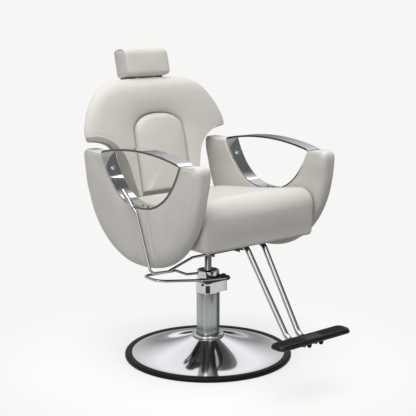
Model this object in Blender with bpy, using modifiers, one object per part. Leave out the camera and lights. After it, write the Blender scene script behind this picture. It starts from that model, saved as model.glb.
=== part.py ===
"""A reclining hydraulic hairdressing chair, in metres, +Z up.

The origin is the middle of the round base on the floor. The chair faces -Y,
so +X is the sitter's left. Every piece is parented to an empty on the axis
of the joint that carries it.
"""

import math

import bmesh
import bpy
from mathutils import Matrix, Vector

# Clearances
GAP = 0.0003              # between two pieces that touch
RUN = 0.0005              # round a piece that turns or slides

# Base and pump
BASE_RADIUS = 0.298
RIM_WIDTH = 0.025
RIM_HEIGHT = 0.017
PLATE_THICKNESS = 0.006
DOME_EDGE = 0.0140        # height of the chrome dome at its edge
DOME_TOP = 0.071
DOME_WALL = 0.002
DOME_FLARE = 1.55         # 1 is a cone, more is a trumpet
COLLAR_RADIUS = 0.058
COLLAR_HEIGHT = 0.011
FOOT_RADIUS = 0.075
FOOT_THICKNESS = 0.008
TUBE_RADIUS = 0.0415
TUBE_WALL = 0.0035
HEAD_BOTTOM = 0.228
HEAD_RADIUS = 0.0435
HEAD_LEDGE = 0.275
NECK_RADIUS = 0.040
HEAD_TOP = 0.313
BLOCK_REACH = 0.053       # of the pivot block beside the head, along X
BLOCK_HALF = 0.044        # half of the pivot block, along Y
SLOT_WIDTH = 0.010        # of the drain slot in the head
SLOT_HEIGHT = 0.025
SLOT_DEPTH = 0.008
SLOT_TURN = math.radians(-131.0)
LUG_SPREAD = 0.030        # of the two pivot lugs from the middle
LUG_THICKNESS = 0.012
LUG_WALL = 0.004
BUSH_WALL = 0.004
SEAL_RADIUS = 0.034
SEAL_DEPTH = 0.004

# Piston
ROD_RADIUS = 0.0125
PISTON_BOTTOM = 0.085
PISTON_HEIGHT = 0.018

# Pump pedal
PIVOT_X = 0.047
PIVOT_Z = 0.286
SHAFT_RADIUS = 0.006
PIVOT_NECK = 0.0048       # radius of the shaft between the lugs
PEDAL_BOSS = 0.009        # radius of the bosses that carry the legs
PEDAL_BOSS_HALF = 0.006
PEDAL_WIRE = 0.0048       # radius of the pedal rod
PEDAL_HALF = 0.052        # half of the space between the legs
PEDAL_REACH = 0.275
PEDAL_END_Z = 0.326
PEDAL_BEND = 0.030

# Swivel and seat frame
HUB_BOTTOM = 0.376
HUB_RADIUS = 0.024
HUB_CAP = 0.0122          # of the hub over the end of the rod
SWIVEL_PLATE_BOTTOM = 0.4242
SWIVEL_PLATE_THICKNESS = 0.0055
SWIVEL_PLATE_HALF = 0.085
RAIL_CENTRE = 0.100
RAIL_WIDTH = 0.030
RAIL_HEIGHT = 0.030
RAIL_FRONT = -0.125
RAIL_REAR = 0.306
CROSS_WIDTH = 0.025
BOARD_THICKNESS = 0.006
BOARD_INSET = 0.013

# Seat cushion
SEAT_HALF = 0.2485
SEAT_FRONT = -0.283
SEAT_FRONT_TOP = 0.609
SEAT_REAR_TOP = 0.562
SEAT_FRONT_ROUND = 0.045
SEAT_EDGE_ROUND = 0.022
SEAT_CROWN = 0.008
SEAT_BACK_GAP = 0.005

# Arms
SEAT_ARM_GAP = 0.0055     # between the seat and an arm
ARM_WIDTH = 0.060
ARM_TOP = 0.737
ARM_DROP = 0.053          # of the lowest edge below the frame rails
ARM_REAR = 0.314
ARM_FRONT = 0.316
ARM_REAR_POWER = 2.1      # 2 is an ellipse, more is squarer
ARM_FRONT_POWER = 2.2
ARM_EDGE_ROUND = 0.018    # of the outer edge
ARM_INNER_ROUND = 0.008
ARM_CROWN = 0.003
LOOP_CENTRE = -0.017
LOOP_HALF = 0.211
LOOP_DEPTH = 0.157
LOOP_RISE = 0.028
STRAP_MARGIN = 0.002      # of the strap inside the arm's two faces
STRAP_THICKNESS = 0.005
ARM_BOLT_RADIUS = 0.0075
ARM_BOLT_HEIGHT = 0.005
ARM_BOLT_DROP = 0.052     # of the bolts below the arm top
BRACKET_WIDTH = 0.100
BRACKET_THICKNESS = 0.006
BRACKET_MARGIN = 0.017    # of the bracket above the arm's lowest edge

# Footrest
REST_TUBE = 0.0095
REST_TOP_HALF = 0.038
REST_FOOT_HALF = 0.0265
REST_TOP_Y = -0.242
REST_FOOT_Y = -0.434
REST_FRONT_Y = -0.540
REST_BEND = 0.040
REST_SOCKET_WALL = 0.0028
REST_SOCKET_LENGTH = 0.085
REST_PAD_TOP = 0.197
REST_PAD_THICKNESS = 0.016
REST_PAD_HALF = 0.156
REST_PAD_REAR = -0.484
REST_PAD_FRONT = -0.545
REST_CAP_LENGTH = 0.008

# Back
BACK_TILT = math.radians(13.5)
BACK_FOOT_Y = 0.215       # front of the back at the height of the seat
BACK_FOOT_Z = 0.560
BACK_HEIGHT = 0.438
BACK_HALF = 0.318
WING_HEIGHT = 0.222       # of the wing tips above the foot
STEM_HALF = 0.140
STEM_DROP = 0.024         # of the stem below the seat top
BACK_THICKNESS = 0.080
BACK_POWER = 2.30         # of the dome over the wings
BACK_ROUND = 0.040        # how far the front edge rolls onto the face
BACK_ROLL = 0.028         # and how deep
BACK_CROWN = 0.008
COVER_THICKNESS = 0.018
BACK_REAR_ROUND = 0.046   # how far the rear edge is drawn in at the wing tips
PANEL_HALF = 0.112
PANEL_BOTTOM = 0.008
PANEL_MARGIN = 0.141      # of the panel below the top of the back
PANEL_ARCH = 0.104        # rise of its arch
PANEL_DEPTH = 0.036
PANEL_CROWN = 0.014
PANEL_SEAM = 0.002

# Recline hinge and lockable gas spring
HINGE_DROP = 0.0416       # of the hinge below the foot of the back
UPRIGHT_THICKNESS = 0.006
UPRIGHT_LENGTH = 0.300
BARREL_RADIUS = 0.013
EAR_THICKNESS = 0.005
RECLINE = math.radians(45.0)
CRANK = 0.055
CRANK_PLATE = 0.004
CRANK_PIN = 0.004
CRANK_GAP = 0.0015
CRANK_HEAD = 0.009        # radius of the cheeks round the crank pin
SPRING_X = 0.055
SPRING_Z = 0.447
SPRING_ROD = 0.004
SPRING_RADIUS = 0.010
SPRING_WALL = 0.0028
SPRING_LENGTH = 0.205
EYE_RADIUS = 0.0125
EYE_WIDTH = 0.008
SPRING_INSERT = 0.075     # of the rod inside the cylinder
EYE_NECK = 0.0035
EYE_PLAY = 0.0035         # lets the crank pin rise and fall in the eye
HEAD_BLOCK = 0.024        # width of the release block
HEAD_LENGTH = 0.030

# Recline lever
LEVER_WIRE = 0.0045
LEVER_Y = -0.1125
LEVER_Z = 0.404
LEVER_CLEAR = 0.012       # of the lever beside the arm
LEVER_UNDER = 0.005       # of the lever below the arm
KNEE_DROP = 0.017         # of the lever's knee below the strap loop
GRIP_RADIUS = 0.0076
GRIP_LENGTH = 0.080
FINGER_REACH = 0.0235
FINGER_WIDTH = 0.010
FINGER_TOP = 0.007
PIN_RADIUS = 0.003
PIN_TOP = 0.440

# Headrest
HEADREST_HALF = 0.098
HEADREST_GAP = 0.002      # between the headrest and the back
HEADREST_HEIGHT = 0.095
HEADREST_DEPTH = 0.070
HEADREST_POWER = 3.2      # of the oval section
HEADREST_CROWN = 0.002
POST_RADIUS = 0.006
POST_HALF = 0.040
POST_DEPTH = 0.042        # of the posts behind the front of the back
POST_OVER = 0.006         # of the posts above the panel
FERRULE_RADIUS = 0.010


def make_collection(name):
    """Add a collection to the scene."""
    made = bpy.data.collections.new(name)
    bpy.context.scene.collection.children.link(made)
    return made


for old in list(bpy.data.objects):
    bpy.data.objects.remove(old, do_unlink=True)
PARTS = make_collection("hairdressing_chair")
CUTTERS = make_collection("cutters")
CUTTERS.hide_render = True


def make_frame(name, location, tilt=0.0, parent=None):
    """Add an empty that stands on a joint axis."""
    empty = bpy.data.objects.new(name, None)
    empty.empty_display_size = 0.03
    empty.location = location
    empty.rotation_euler = (tilt, 0.0, 0.0)
    PARTS.objects.link(empty)
    if parent is not None:
        bpy.context.view_layer.update()
        empty.parent = parent
        empty.matrix_parent_inverse = parent.matrix_world.inverted()
    bpy.context.view_layer.update()
    return empty


def finish(name, colour, roughness, metallic=0.0):
    """Make the Principled material of one piece."""
    made = bpy.data.materials.new(name + "_finish")
    made.use_nodes = True
    shader = made.node_tree.nodes["Principled BSDF"]
    shader.inputs["Base Color"].default_value = (*colour, 1.0)
    shader.inputs["Roughness"].default_value = roughness
    shader.inputs["Metallic"].default_value = metallic
    made.diffuse_color = (*colour, 1.0)
    return made


LEATHER = ((0.60, 0.57, 0.53), 0.45, 0.0)
CHROME = ((0.86, 0.87, 0.88), 0.08, 1.0)
BRUSHED = ((0.55, 0.56, 0.57), 0.30, 1.0)
BLACK_STEEL = ((0.025, 0.025, 0.027), 0.45, 0.6)
RUBBER = ((0.018, 0.018, 0.019), 0.65, 0.0)
WOOD = ((0.45, 0.31, 0.18), 0.70, 0.0)
BRONZE = ((0.55, 0.36, 0.16), 0.35, 1.0)


def place(name, mesh, look, frame, local=False):
    """Make one named piece from a mesh and hang it on its frame."""
    piece = bpy.data.objects.new(name, mesh)
    mesh.materials.append(finish(name, *look))
    PARTS.objects.link(piece)
    piece.parent = frame
    if not local:
        piece.matrix_parent_inverse = frame.matrix_world.inverted()
    return piece


def cutter_from(name, bm, frame, local=False):
    """Make a hidden solid for a boolean, on the frame of the piece it cuts."""
    mesh = to_mesh(name, bm)
    tool = bpy.data.objects.new(name, mesh)
    tool.hide_render = True
    tool.display_type = 'WIRE'
    CUTTERS.objects.link(tool)
    tool.parent = frame
    if not local:
        tool.matrix_parent_inverse = frame.matrix_world.inverted()
    return tool


def boolean(piece, tool, operation='DIFFERENCE'):
    """Add an exact boolean to a piece."""
    step = piece.modifiers.new(tool.name, 'BOOLEAN')
    step.operation = operation
    step.solver = 'EXACT'
    step.object = tool


def to_mesh(name, bm):
    """Turn a bmesh into a mesh with its faces looking outwards."""
    bmesh.ops.recalc_face_normals(bm, faces=bm.faces)
    mesh = bpy.data.meshes.new(name)
    bm.to_mesh(mesh)
    bm.free()
    mesh.shade_smooth()
    mesh.set_sharp_from_angle(angle=math.radians(35.0))
    return mesh


def box_into(bm, low, high):
    """Add a box between two corners to a bmesh."""
    low = Vector(low)
    high = Vector(high)
    size = high - low
    where = Matrix.Translation((low + high) / 2) @ Matrix.Diagonal((*size, 1.0))
    bmesh.ops.create_cube(bm, size=1.0, matrix=where)


def rod_into(bm, start, end, radius, sides=16, end_radius=None):
    """Add a round bar between two points to a bmesh."""
    start = Vector(start)
    end = Vector(end)
    along = end - start
    turn = along.to_track_quat('Z', 'Y').to_matrix().to_4x4()
    where = Matrix.Translation((start + end) / 2) @ turn
    tip = radius if end_radius is None else end_radius
    bmesh.ops.create_cone(bm, cap_ends=True, segments=sides, radius1=radius,
                          radius2=tip, depth=along.length, matrix=where)


def box_piece(name, low, high, look, frame, bevel=0.0, local=False):
    """Make a box-shaped piece, its edges broken by a bevel."""
    bm = bmesh.new()
    box_into(bm, low, high)
    piece = place(name, to_mesh(name, bm), look, frame, local)
    if bevel > 0.0:
        step = piece.modifiers.new("edges", 'BEVEL')
        step.width = bevel
        step.segments = 1
    return piece


def rod_piece(name, start, end, radius, look, frame, sides=16, local=False):
    """Make a plain round piece."""
    bm = bmesh.new()
    rod_into(bm, start, end, radius, sides)
    return place(name, to_mesh(name, bm), look, frame, local)


def turned(name, profile, look, frame, steps=32, closed=False, turn=None, at=None):
    """Make a turned piece from a profile of (radius, height) points."""
    mesh = bpy.data.meshes.new(name)
    points = [(radius, 0.0, height) for radius, height in profile]
    edges = [(i, i + 1) for i in range(len(points) - 1)]
    if closed:
        edges.append((len(points) - 1, 0))
    mesh.from_pydata(points, edges, [])
    piece = place(name, mesh, look, frame)
    if turn is not None:
        piece.rotation_euler = turn
    if at is not None:
        piece.location = at
    step = piece.modifiers.new("turn", 'SCREW')
    step.axis = 'Z'
    step.steps = steps
    step.render_steps = steps
    step.use_merge_vertices = True
    step.merge_threshold = 0.00005
    step.use_smooth_shade = True
    return piece


def fillet(points, radius, steps=5):
    """Round the corners of a route of points."""
    route = [Vector(points[0])]
    for before, corner, after in zip(points, points[1:], points[2:]):
        corner = Vector(corner)
        one = (Vector(before) - corner).normalized()
        two = (Vector(after) - corner).normalized()
        half = one.angle(two) / 2
        if half > math.radians(88.0):
            route.append(corner)
            continue
        reach = radius / math.tan(half)
        room = 0.48 * min((Vector(before) - corner).length, (Vector(after) - corner).length)
        size = radius * min(1.0, room / reach)
        reach = min(reach, room)
        centre = corner + (one + two).normalized() * (size / math.sin(half))
        first = corner + one * reach - centre
        last = corner + two * reach - centre
        for i in range(steps + 1):
            share = i / steps
            route.append(centre + first.normalized().slerp(last.normalized(), share) * first.length)
    route.append(Vector(points[-1]))
    return route


def swept(name, route, radius, look, frame, sides=10):
    """Make a bent round bar along a route."""
    curve = bpy.data.curves.new(name + "_route", 'CURVE')
    curve.dimensions = '3D'
    curve.bevel_depth = radius
    curve.bevel_resolution = (sides - 4) // 2
    curve.use_fill_caps = True
    line = curve.splines.new('POLY')
    line.points.add(len(route) - 1)
    for knot, point in zip(line.points, route):
        knot.co = (*point, 1.0)
    holder = bpy.data.objects.new(name + "_route", curve)
    bpy.context.scene.collection.objects.link(holder)
    shaped = holder.evaluated_get(bpy.context.evaluated_depsgraph_get())
    bm = bmesh.new()
    bm.from_mesh(shaped.to_mesh())
    shaped.to_mesh_clear()
    bpy.data.objects.remove(holder, do_unlink=True)
    bmesh.ops.remove_doubles(bm, verts=bm.verts, dist=0.00002)
    return place(name, to_mesh(name, bm), look, frame)


def plate_into(bm, outlines, low, high):
    """Add a flat plate in the YZ plane, from x = low to high; a second outline is a hole."""
    curve = bpy.data.curves.new("outline", 'CURVE')
    curve.dimensions = '2D'
    curve.fill_mode = 'BOTH'
    curve.extrude = abs(high - low) / 2
    for outline in outlines:
        line = curve.splines.new('POLY')
        line.points.add(len(outline) - 1)
        for knot, point in zip(line.points, outline):
            knot.co = (point[0], point[1], 0.0, 1.0)
        line.use_cyclic_u = True
    holder = bpy.data.objects.new("outline", curve)
    bpy.context.scene.collection.objects.link(holder)
    shaped = holder.evaluated_get(bpy.context.evaluated_depsgraph_get())
    flat = bpy.data.meshes.new_from_object(shaped)
    bpy.data.objects.remove(holder, do_unlink=True)
    upright = Matrix(((0, 0, 1, (low + high) / 2), (1, 0, 0, 0), (0, 1, 0, 0), (0, 0, 0, 1)))
    flat.transform(upright)
    bm.from_mesh(flat)
    bpy.data.meshes.remove(flat)
    bmesh.ops.remove_doubles(bm, verts=bm.verts, dist=0.00002)


def loft_into(bm, rings):
    """Bridge closed rings of equal count into a solid with end caps."""
    loops = [[bm.verts.new(point) for point in ring] for ring in rings]
    for low, high in zip(loops, loops[1:]):
        for i in range(len(low)):
            j = (i + 1) % len(low)
            bm.faces.new((low[i], low[j], high[j], high[i]))
    bm.faces.new(list(reversed(loops[0])))
    bm.faces.new(loops[-1])


def bezier(p0, p1, p2, p3, count):
    """Points along a cubic curve, both ends included."""
    points = []
    for i in range(count + 1):
        t = i / count
        s = 1.0 - t
        points.append(tuple(s * s * s * a + 3 * s * s * t * b + 3 * s * t * t * c + t * t * t * d
                            for a, b, c, d in zip(p0, p1, p2, p3)))
    return points


def inset(outline, amount):
    """Move a closed outline inwards (counter-clockwise points), with mitred corners."""
    moved = []
    count = len(outline)
    for i in range(count):
        here = Vector(outline[i])
        one = (here - Vector(outline[i - 1])).normalized()
        two = (Vector(outline[(i + 1) % count]) - here).normalized()
        first = Vector((-one.y, one.x))
        second = Vector((-two.y, two.x))
        middle = first + second
        moved.append(tuple(here + middle * (amount / max(0.35, 1.0 + first.dot(second)))))
    return moved


def area(outline):
    """Signed area of a closed outline."""
    pairs = zip(outline, outline[1:] + outline[:1])
    return sum(a[0] * b[1] - b[0] * a[1] for a, b in pairs) / 2


def counter_clockwise(outline):
    """The same outline, turned the way the inset needs it."""
    return outline if area(outline) > 0 else list(reversed(outline))


def rounded_edge(outline, radius, near, far, steps=3):
    """Rings that round the edge of a flat outline between two levels."""
    rings = []
    for i in range(steps + 1):
        turn = math.pi / 2 * i / steps
        level = far + (near - far) * math.sin(turn)
        rings.append((inset(outline, radius * (1 - math.cos(turn))), level))
    return rings


def scaled(outline, share, centre):
    """An outline scaled towards a centre."""
    return [(centre[0] + (p[0] - centre[0]) * share, centre[1] + (p[1] - centre[1]) * share)
            for p in outline]


def drawn_in(outline, amount, centre):
    """An outline with every point moved by one amount towards a centre."""
    moved = []
    for p in outline:
        away = Vector(p) - Vector(centre)
        moved.append(tuple(Vector(centre) + away * (1.0 - amount / away.length)))
    return moved


def shrunk(outline, amount):
    """An outline made smaller by one amount on all four sides of its box."""
    low = [min(p[i] for p in outline) for i in (0, 1)]
    high = [max(p[i] for p in outline) for i in (0, 1)]
    moved = []
    for p in outline:
        moved.append(tuple((low[i] + high[i]) / 2 + (p[i] - (low[i] + high[i]) / 2)
                           * (1.0 - 2 * amount / (high[i] - low[i])) for i in (0, 1)))
    return moved


def mirrored(build):
    """Run a builder for the sitter's right (-X) and left (+X)."""
    for side, word in ((-1.0, "right"), (1.0, "left")):
        build(side, word)


# Frames of the joints
rail_bottom = SWIVEL_PLATE_BOTTOM + SWIVEL_PLATE_THICKNESS + GAP
rail_top = rail_bottom + RAIL_HEIGHT
board_bottom = rail_top + GAP
board_top = board_bottom + BOARD_THICKNESS
seat_bottom = board_top + GAP
rail_inner = RAIL_CENTRE - RAIL_WIDTH / 2
rail_outer = RAIL_CENTRE + RAIL_WIDTH / 2
upright_depth = BACK_THICKNESS + GAP + UPRIGHT_THICKNESS / 2
back_up = Vector((0.0, math.sin(BACK_TILT), math.cos(BACK_TILT)))
back_rear = Vector((0.0, math.cos(BACK_TILT), -math.sin(BACK_TILT)))
back_foot = Vector((0.0, BACK_FOOT_Y, BACK_FOOT_Z))
hinge = back_foot - back_up * HINGE_DROP + back_rear * upright_depth
crank_rest = hinge + Vector((0.0, math.sin(RECLINE / 2), -math.cos(RECLINE / 2))) * CRANK
pin_y = LEVER_Y + FINGER_REACH - PIN_RADIUS
rod_top = SWIVEL_PLATE_BOTTOM - HUB_CAP
arm_inner = SEAT_HALF + SEAT_ARM_GAP
arm_outer = arm_inner + ARM_WIDTH
headrest_bottom = BACK_HEIGHT + HEADREST_GAP
panel_top = BACK_HEIGHT - PANEL_MARGIN
panel_shoulder = panel_top - PANEL_ARCH
post_bottom = panel_top + POST_OVER
arm_bottom = rail_bottom - ARM_DROP
arm_depth = ARM_TOP - arm_bottom
lever_x = -(arm_outer + LEVER_CLEAR)
lever_low = arm_bottom - LEVER_UNDER

base = make_frame("base_frame", (0, 0, 0))
pedal = make_frame("pedal_axis", (PIVOT_X, 0, PIVOT_Z), parent=base)
piston = make_frame("piston_axis", (0, 0, HEAD_TOP), parent=base)
seat = make_frame("swivel_axis", (0, 0, HUB_BOTTOM), parent=piston)
lever = make_frame("lever_axis", (0, LEVER_Y, LEVER_Z), parent=seat)
release = make_frame("release_axis", (SPRING_X, pin_y, PIN_TOP), parent=seat)
spring = make_frame("spring_axis", (SPRING_X, crank_rest.y, SPRING_Z), parent=seat)
recline = make_frame("recline_axis", hinge, parent=seat)
back = make_frame("back_plane", hinge, tilt=-BACK_TILT, parent=recline)
headrest = make_frame("headrest_axis", back_foot + back_up * headrest_bottom + back_rear * POST_DEPTH,
                      tilt=-BACK_TILT, parent=recline)

# Base: steel plate, chrome dome, rubber rim and trim collar
rim_inner = BASE_RADIUS - RIM_WIDTH
plate_radius = rim_inner - GAP
tube_hole = TUBE_RADIUS + RUN
turned("base_plate", [(0, PLATE_THICKNESS), (plate_radius, PLATE_THICKNESS), (plate_radius, 0),
                      (0, 0)], BLACK_STEEL, base, steps=48)
shoulder = COLLAR_RADIUS - 0.004
outer_curve = []
for i in range(8):
    share = i / 7
    radius = shoulder + (plate_radius - shoulder) * share
    height = DOME_EDGE + (DOME_TOP - DOME_EDGE) * (1 - share) ** DOME_FLARE
    outer_curve.append((radius, height))
inner_curve = [(radius - DOME_WALL * 0.6, height - DOME_WALL) for radius, height in outer_curve]
dome_foot = PLATE_THICKNESS + GAP
dome = [(tube_hole, DOME_TOP)] + outer_curve + [(plate_radius, dome_foot)]
dome += [(plate_radius - DOME_WALL * 0.6, dome_foot)] + inner_curve[::-1]
dome += [(tube_hole, DOME_TOP - DOME_WALL)]
turned("base_dome", dome, CHROME, base, steps=48, closed=True)
turned("base_rim", [(rim_inner, RIM_HEIGHT * 0.88), (rim_inner + 0.006, RIM_HEIGHT),
                    (BASE_RADIUS - 0.007, RIM_HEIGHT), (BASE_RADIUS - 0.002, RIM_HEIGHT * 0.8),
                    (BASE_RADIUS, RIM_HEIGHT * 0.45), (BASE_RADIUS - 0.002, 0), (rim_inner, 0)],
       RUBBER, base, steps=48, closed=True)
collar_foot = DOME_TOP + GAP
collar_top = collar_foot + COLLAR_HEIGHT
turned("pump_collar", [(tube_hole, collar_top), (COLLAR_RADIUS - 0.006, collar_top),
                       (COLLAR_RADIUS - 0.0018, collar_top - 0.002),
                       (COLLAR_RADIUS, collar_top - 0.006), (COLLAR_RADIUS, collar_foot),
                       (tube_hole, collar_foot)], CHROME, base, steps=32, closed=True)

# Pump: foot, tube, head with its pivot block, bush and wiper seal
foot_top = dome_foot + FOOT_THICKNESS
tube_inner = TUBE_RADIUS - TUBE_WALL
boss = tube_inner - GAP
turned("pump_foot", [(0, foot_top + 0.010), (boss, foot_top + 0.010), (boss, foot_top),
                     (FOOT_RADIUS, foot_top), (FOOT_RADIUS, dome_foot), (0, dome_foot)],
       BLACK_STEEL, base, steps=32)
turned("pump_tube", [(tube_inner, HEAD_BOTTOM - GAP), (TUBE_RADIUS, HEAD_BOTTOM - GAP),
                     (TUBE_RADIUS, foot_top + GAP), (tube_inner, foot_top + GAP)],
       BRUSHED, base, steps=32, closed=True)
bush_inner = ROD_RADIUS + RUN
bush_outer = bush_inner + BUSH_WALL
head_bore = bush_outer + GAP
seal_floor = HEAD_TOP - SEAL_DEPTH
head = turned("pump_head", [(SEAL_RADIUS + GAP, HEAD_TOP), (NECK_RADIUS, HEAD_TOP),
                            (NECK_RADIUS, HEAD_LEDGE), (HEAD_RADIUS, HEAD_LEDGE),
                            (HEAD_RADIUS, HEAD_BOTTOM), (head_bore, HEAD_BOTTOM),
                            (head_bore, seal_floor), (SEAL_RADIUS + GAP, seal_floor)],
              CHROME, base, steps=32, closed=True)
bm = bmesh.new()
box_into(bm, (head_bore + 0.004, -BLOCK_HALF, HEAD_BOTTOM + 0.004),
         (BLOCK_REACH, BLOCK_HALF, HEAD_LEDGE + 0.0002))
boolean(head, cutter_from("pivot_block", bm, base), 'UNION')
for y in (-LUG_SPREAD, LUG_SPREAD):
    bm = bmesh.new()
    box_into(bm, (PIVOT_X - SHAFT_RADIUS, y - LUG_THICKNESS / 2, HEAD_LEDGE - LUG_WALL),
             (PIVOT_X + SHAFT_RADIUS, y + LUG_THICKNESS / 2, PIVOT_Z + SHAFT_RADIUS + LUG_WALL))
    boolean(head, cutter_from("pivot_lug_%d" % (y > 0), bm, base), 'UNION')
bm = bmesh.new()
rod_into(bm, (PIVOT_X, -2 * PEDAL_HALF, PIVOT_Z), (PIVOT_X, 2 * PEDAL_HALF, PIVOT_Z), PIVOT_NECK + RUN)
boolean(head, cutter_from("pivot_bore", bm, base))
bm = bmesh.new()
box_into(bm, (HEAD_RADIUS - SLOT_DEPTH, -SLOT_WIDTH / 2, HEAD_BOTTOM - 2 * SLOT_DEPTH),
         (2 * HEAD_RADIUS, SLOT_WIDTH / 2, HEAD_BOTTOM + SLOT_HEIGHT))
bmesh.ops.rotate(bm, verts=bm.verts, cent=(0, 0, 0), matrix=Matrix.Rotation(SLOT_TURN, 3, 'Z'))
boolean(head, cutter_from("drain_slot", bm, base))
turned("rod_guide_bush", [(bush_inner, seal_floor - GAP), (bush_outer, seal_floor - GAP),
                          (bush_outer, HEAD_BOTTOM), (bush_inner, HEAD_BOTTOM)],
       BRONZE, base, steps=24, closed=True)
turned("rod_seal", [(bush_inner, HEAD_TOP - 0.0008), (SEAL_RADIUS, HEAD_TOP - 0.0016),
                    (SEAL_RADIUS, seal_floor + GAP), (bush_inner, seal_floor + GAP)],
       RUBBER, base, steps=24, closed=True)

# Piston rod with its piston
piston_top = PISTON_BOTTOM + PISTON_HEIGHT
piston_radius = tube_inner - 2 * RUN
turned("piston_rod", [(0, rod_top), (ROD_RADIUS - 0.002, rod_top), (ROD_RADIUS, rod_top - 0.003),
                      (ROD_RADIUS, piston_top), (piston_radius, piston_top),
                      (piston_radius, PISTON_BOTTOM), (0, PISTON_BOTTOM)],
       BRUSHED, piston, steps=24)

# Pump pedal: a bent rod on a cross shaft
shaft_end = PEDAL_HALF + PEDAL_BOSS_HALF
boss_inner = PEDAL_HALF - PEDAL_BOSS_HALF
boss_tip = PEDAL_BOSS - 0.002
turned("pedal_shaft", [(0, shaft_end), (boss_tip, shaft_end), (PEDAL_BOSS, shaft_end - 0.002),
                       (PEDAL_BOSS, boss_inner), (PIVOT_NECK, boss_inner), (PIVOT_NECK, -boss_inner),
                       (PEDAL_BOSS, -boss_inner), (PEDAL_BOSS, -shaft_end + 0.002),
                       (boss_tip, -shaft_end), (0, -shaft_end)], BLACK_STEEL, pedal, steps=16,
       turn=(math.pi / 2, 0, 0), at=(PIVOT_X, 0, PIVOT_Z))
leg_start = PIVOT_X - PEDAL_BOSS - GAP
pedal_route = fillet([(leg_start, -PEDAL_HALF, PIVOT_Z), (-0.056, -PEDAL_HALF, PIVOT_Z + 0.008),
                      (-PEDAL_REACH, -PEDAL_HALF, PEDAL_END_Z),
                      (-PEDAL_REACH * 0.93, PEDAL_HALF, PEDAL_END_Z - 0.006),
                      (-0.105, PEDAL_HALF, PEDAL_END_Z - 0.010),
                      (-0.056, PEDAL_HALF, PIVOT_Z + 0.008), (leg_start, PEDAL_HALF, PIVOT_Z)],
                     PEDAL_BEND, steps=5)
swept("pump_pedal", pedal_route, PEDAL_WIRE, CHROME, pedal, sides=8)

# Swivel hub, plate and seat frame
turned("swivel_hub", [(0, SWIVEL_PLATE_BOTTOM - GAP), (HUB_RADIUS, SWIVEL_PLATE_BOTTOM - GAP),
                      (HUB_RADIUS, SWIVEL_PLATE_BOTTOM - 0.012), (HUB_RADIUS * 0.8, HUB_BOTTOM),
                      (ROD_RADIUS + RUN, HUB_BOTTOM), (ROD_RADIUS + RUN, rod_top + GAP),
                      (0, rod_top + GAP)], BLACK_STEEL, seat, steps=24)
plate_half = rail_outer + 0.003
box_piece("swivel_plate", (-plate_half, -SWIVEL_PLATE_HALF, SWIVEL_PLATE_BOTTOM),
          (plate_half, SWIVEL_PLATE_HALF, SWIVEL_PLATE_BOTTOM + SWIVEL_PLATE_THICKNESS),
          BLACK_STEEL, seat, bevel=0.001)


def build_rail(side, word):
    """One long rail of the seat frame."""
    ends = sorted((side * rail_inner, side * rail_outer))
    box_piece("frame_rail_" + word, (ends[0], RAIL_FRONT, rail_bottom),
              (ends[1], RAIL_REAR, rail_top), BLACK_STEEL, seat, bevel=0.002)


mirrored(build_rail)
cross_rear = RAIL_FRONT + CROSS_WIDTH
box_piece("frame_cross_rail", (-rail_inner + GAP, RAIL_FRONT, rail_bottom),
          (rail_inner - GAP, cross_rear, rail_top), BLACK_STEEL, seat, bevel=0.002)
seat_rear_low = BACK_FOOT_Y - (BACK_FOOT_Z - seat_bottom) * math.tan(BACK_TILT) - SEAT_BACK_GAP
box_piece("seat_board", (-SEAT_HALF + BOARD_INSET, SEAT_FRONT + BOARD_INSET + 0.008, board_bottom),
          (SEAT_HALF - BOARD_INSET, seat_rear_low - 0.004, board_top), WOOD, seat, bevel=0.001)

# Seat cushion: one side profile lofted across, with a crown and a front roll
seat_rear_top = BACK_FOOT_Y - SEAT_BACK_GAP + (SEAT_REAR_TOP - BACK_FOOT_Z) * math.tan(BACK_TILT)
seat_corners = [(seat_rear_low, seat_bottom), (seat_rear_top, SEAT_REAR_TOP),
                (SEAT_FRONT, SEAT_FRONT_TOP + 0.010), (SEAT_FRONT, seat_bottom)]
corner_rounds = (0.010, 0.014, SEAT_FRONT_ROUND, 0.014)
side_profile = []
for i in range(4):
    trio = [seat_corners[i - 1], seat_corners[i], seat_corners[(i + 1) % 4]]
    bend = fillet([(0.0, *point) for point in trio], corner_rounds[i], steps=5)
    side_profile += [(point.y, point.z) for point in bend[1:-1]]
    if i == 1:
        rear = Vector(side_profile[-1])
        front = Vector((SEAT_FRONT + SEAT_FRONT_ROUND, SEAT_FRONT_TOP + 0.005))
        for k in range(1, 4):
            dished = rear.lerp(front, k / 4)
            side_profile.append((dished.x, dished.y - 0.006 * math.sin(math.pi * k / 4)))
side_profile = counter_clockwise(side_profile)
seat_sections = [(0.0, 0.0), (0.5 * SEAT_HALF, 0.0)]
for i in range(4):
    turn = math.pi / 2 * i / 3
    seat_sections.append((SEAT_HALF - SEAT_EDGE_ROUND * (1 - math.sin(turn)),
                          SEAT_EDGE_ROUND * (1 - math.cos(turn))))
seat_sections = [(-x, draw) for x, draw in seat_sections[:0:-1]] + seat_sections
seat_rings = []
for x, draw in seat_sections:
    ring = []
    for y, z in shrunk(side_profile, draw):
        lift = max(0.0, (z - seat_bottom) / (SEAT_FRONT_TOP - seat_bottom) - 0.4)
        ring.append((x, y, z + SEAT_CROWN * lift * (1 - (x / SEAT_HALF) ** 2)))
    seat_rings.append(ring)
bm = bmesh.new()
loft_into(bm, seat_rings)
place("seat_cushion", to_mesh("seat_cushion", bm), LEATHER, seat)

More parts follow.
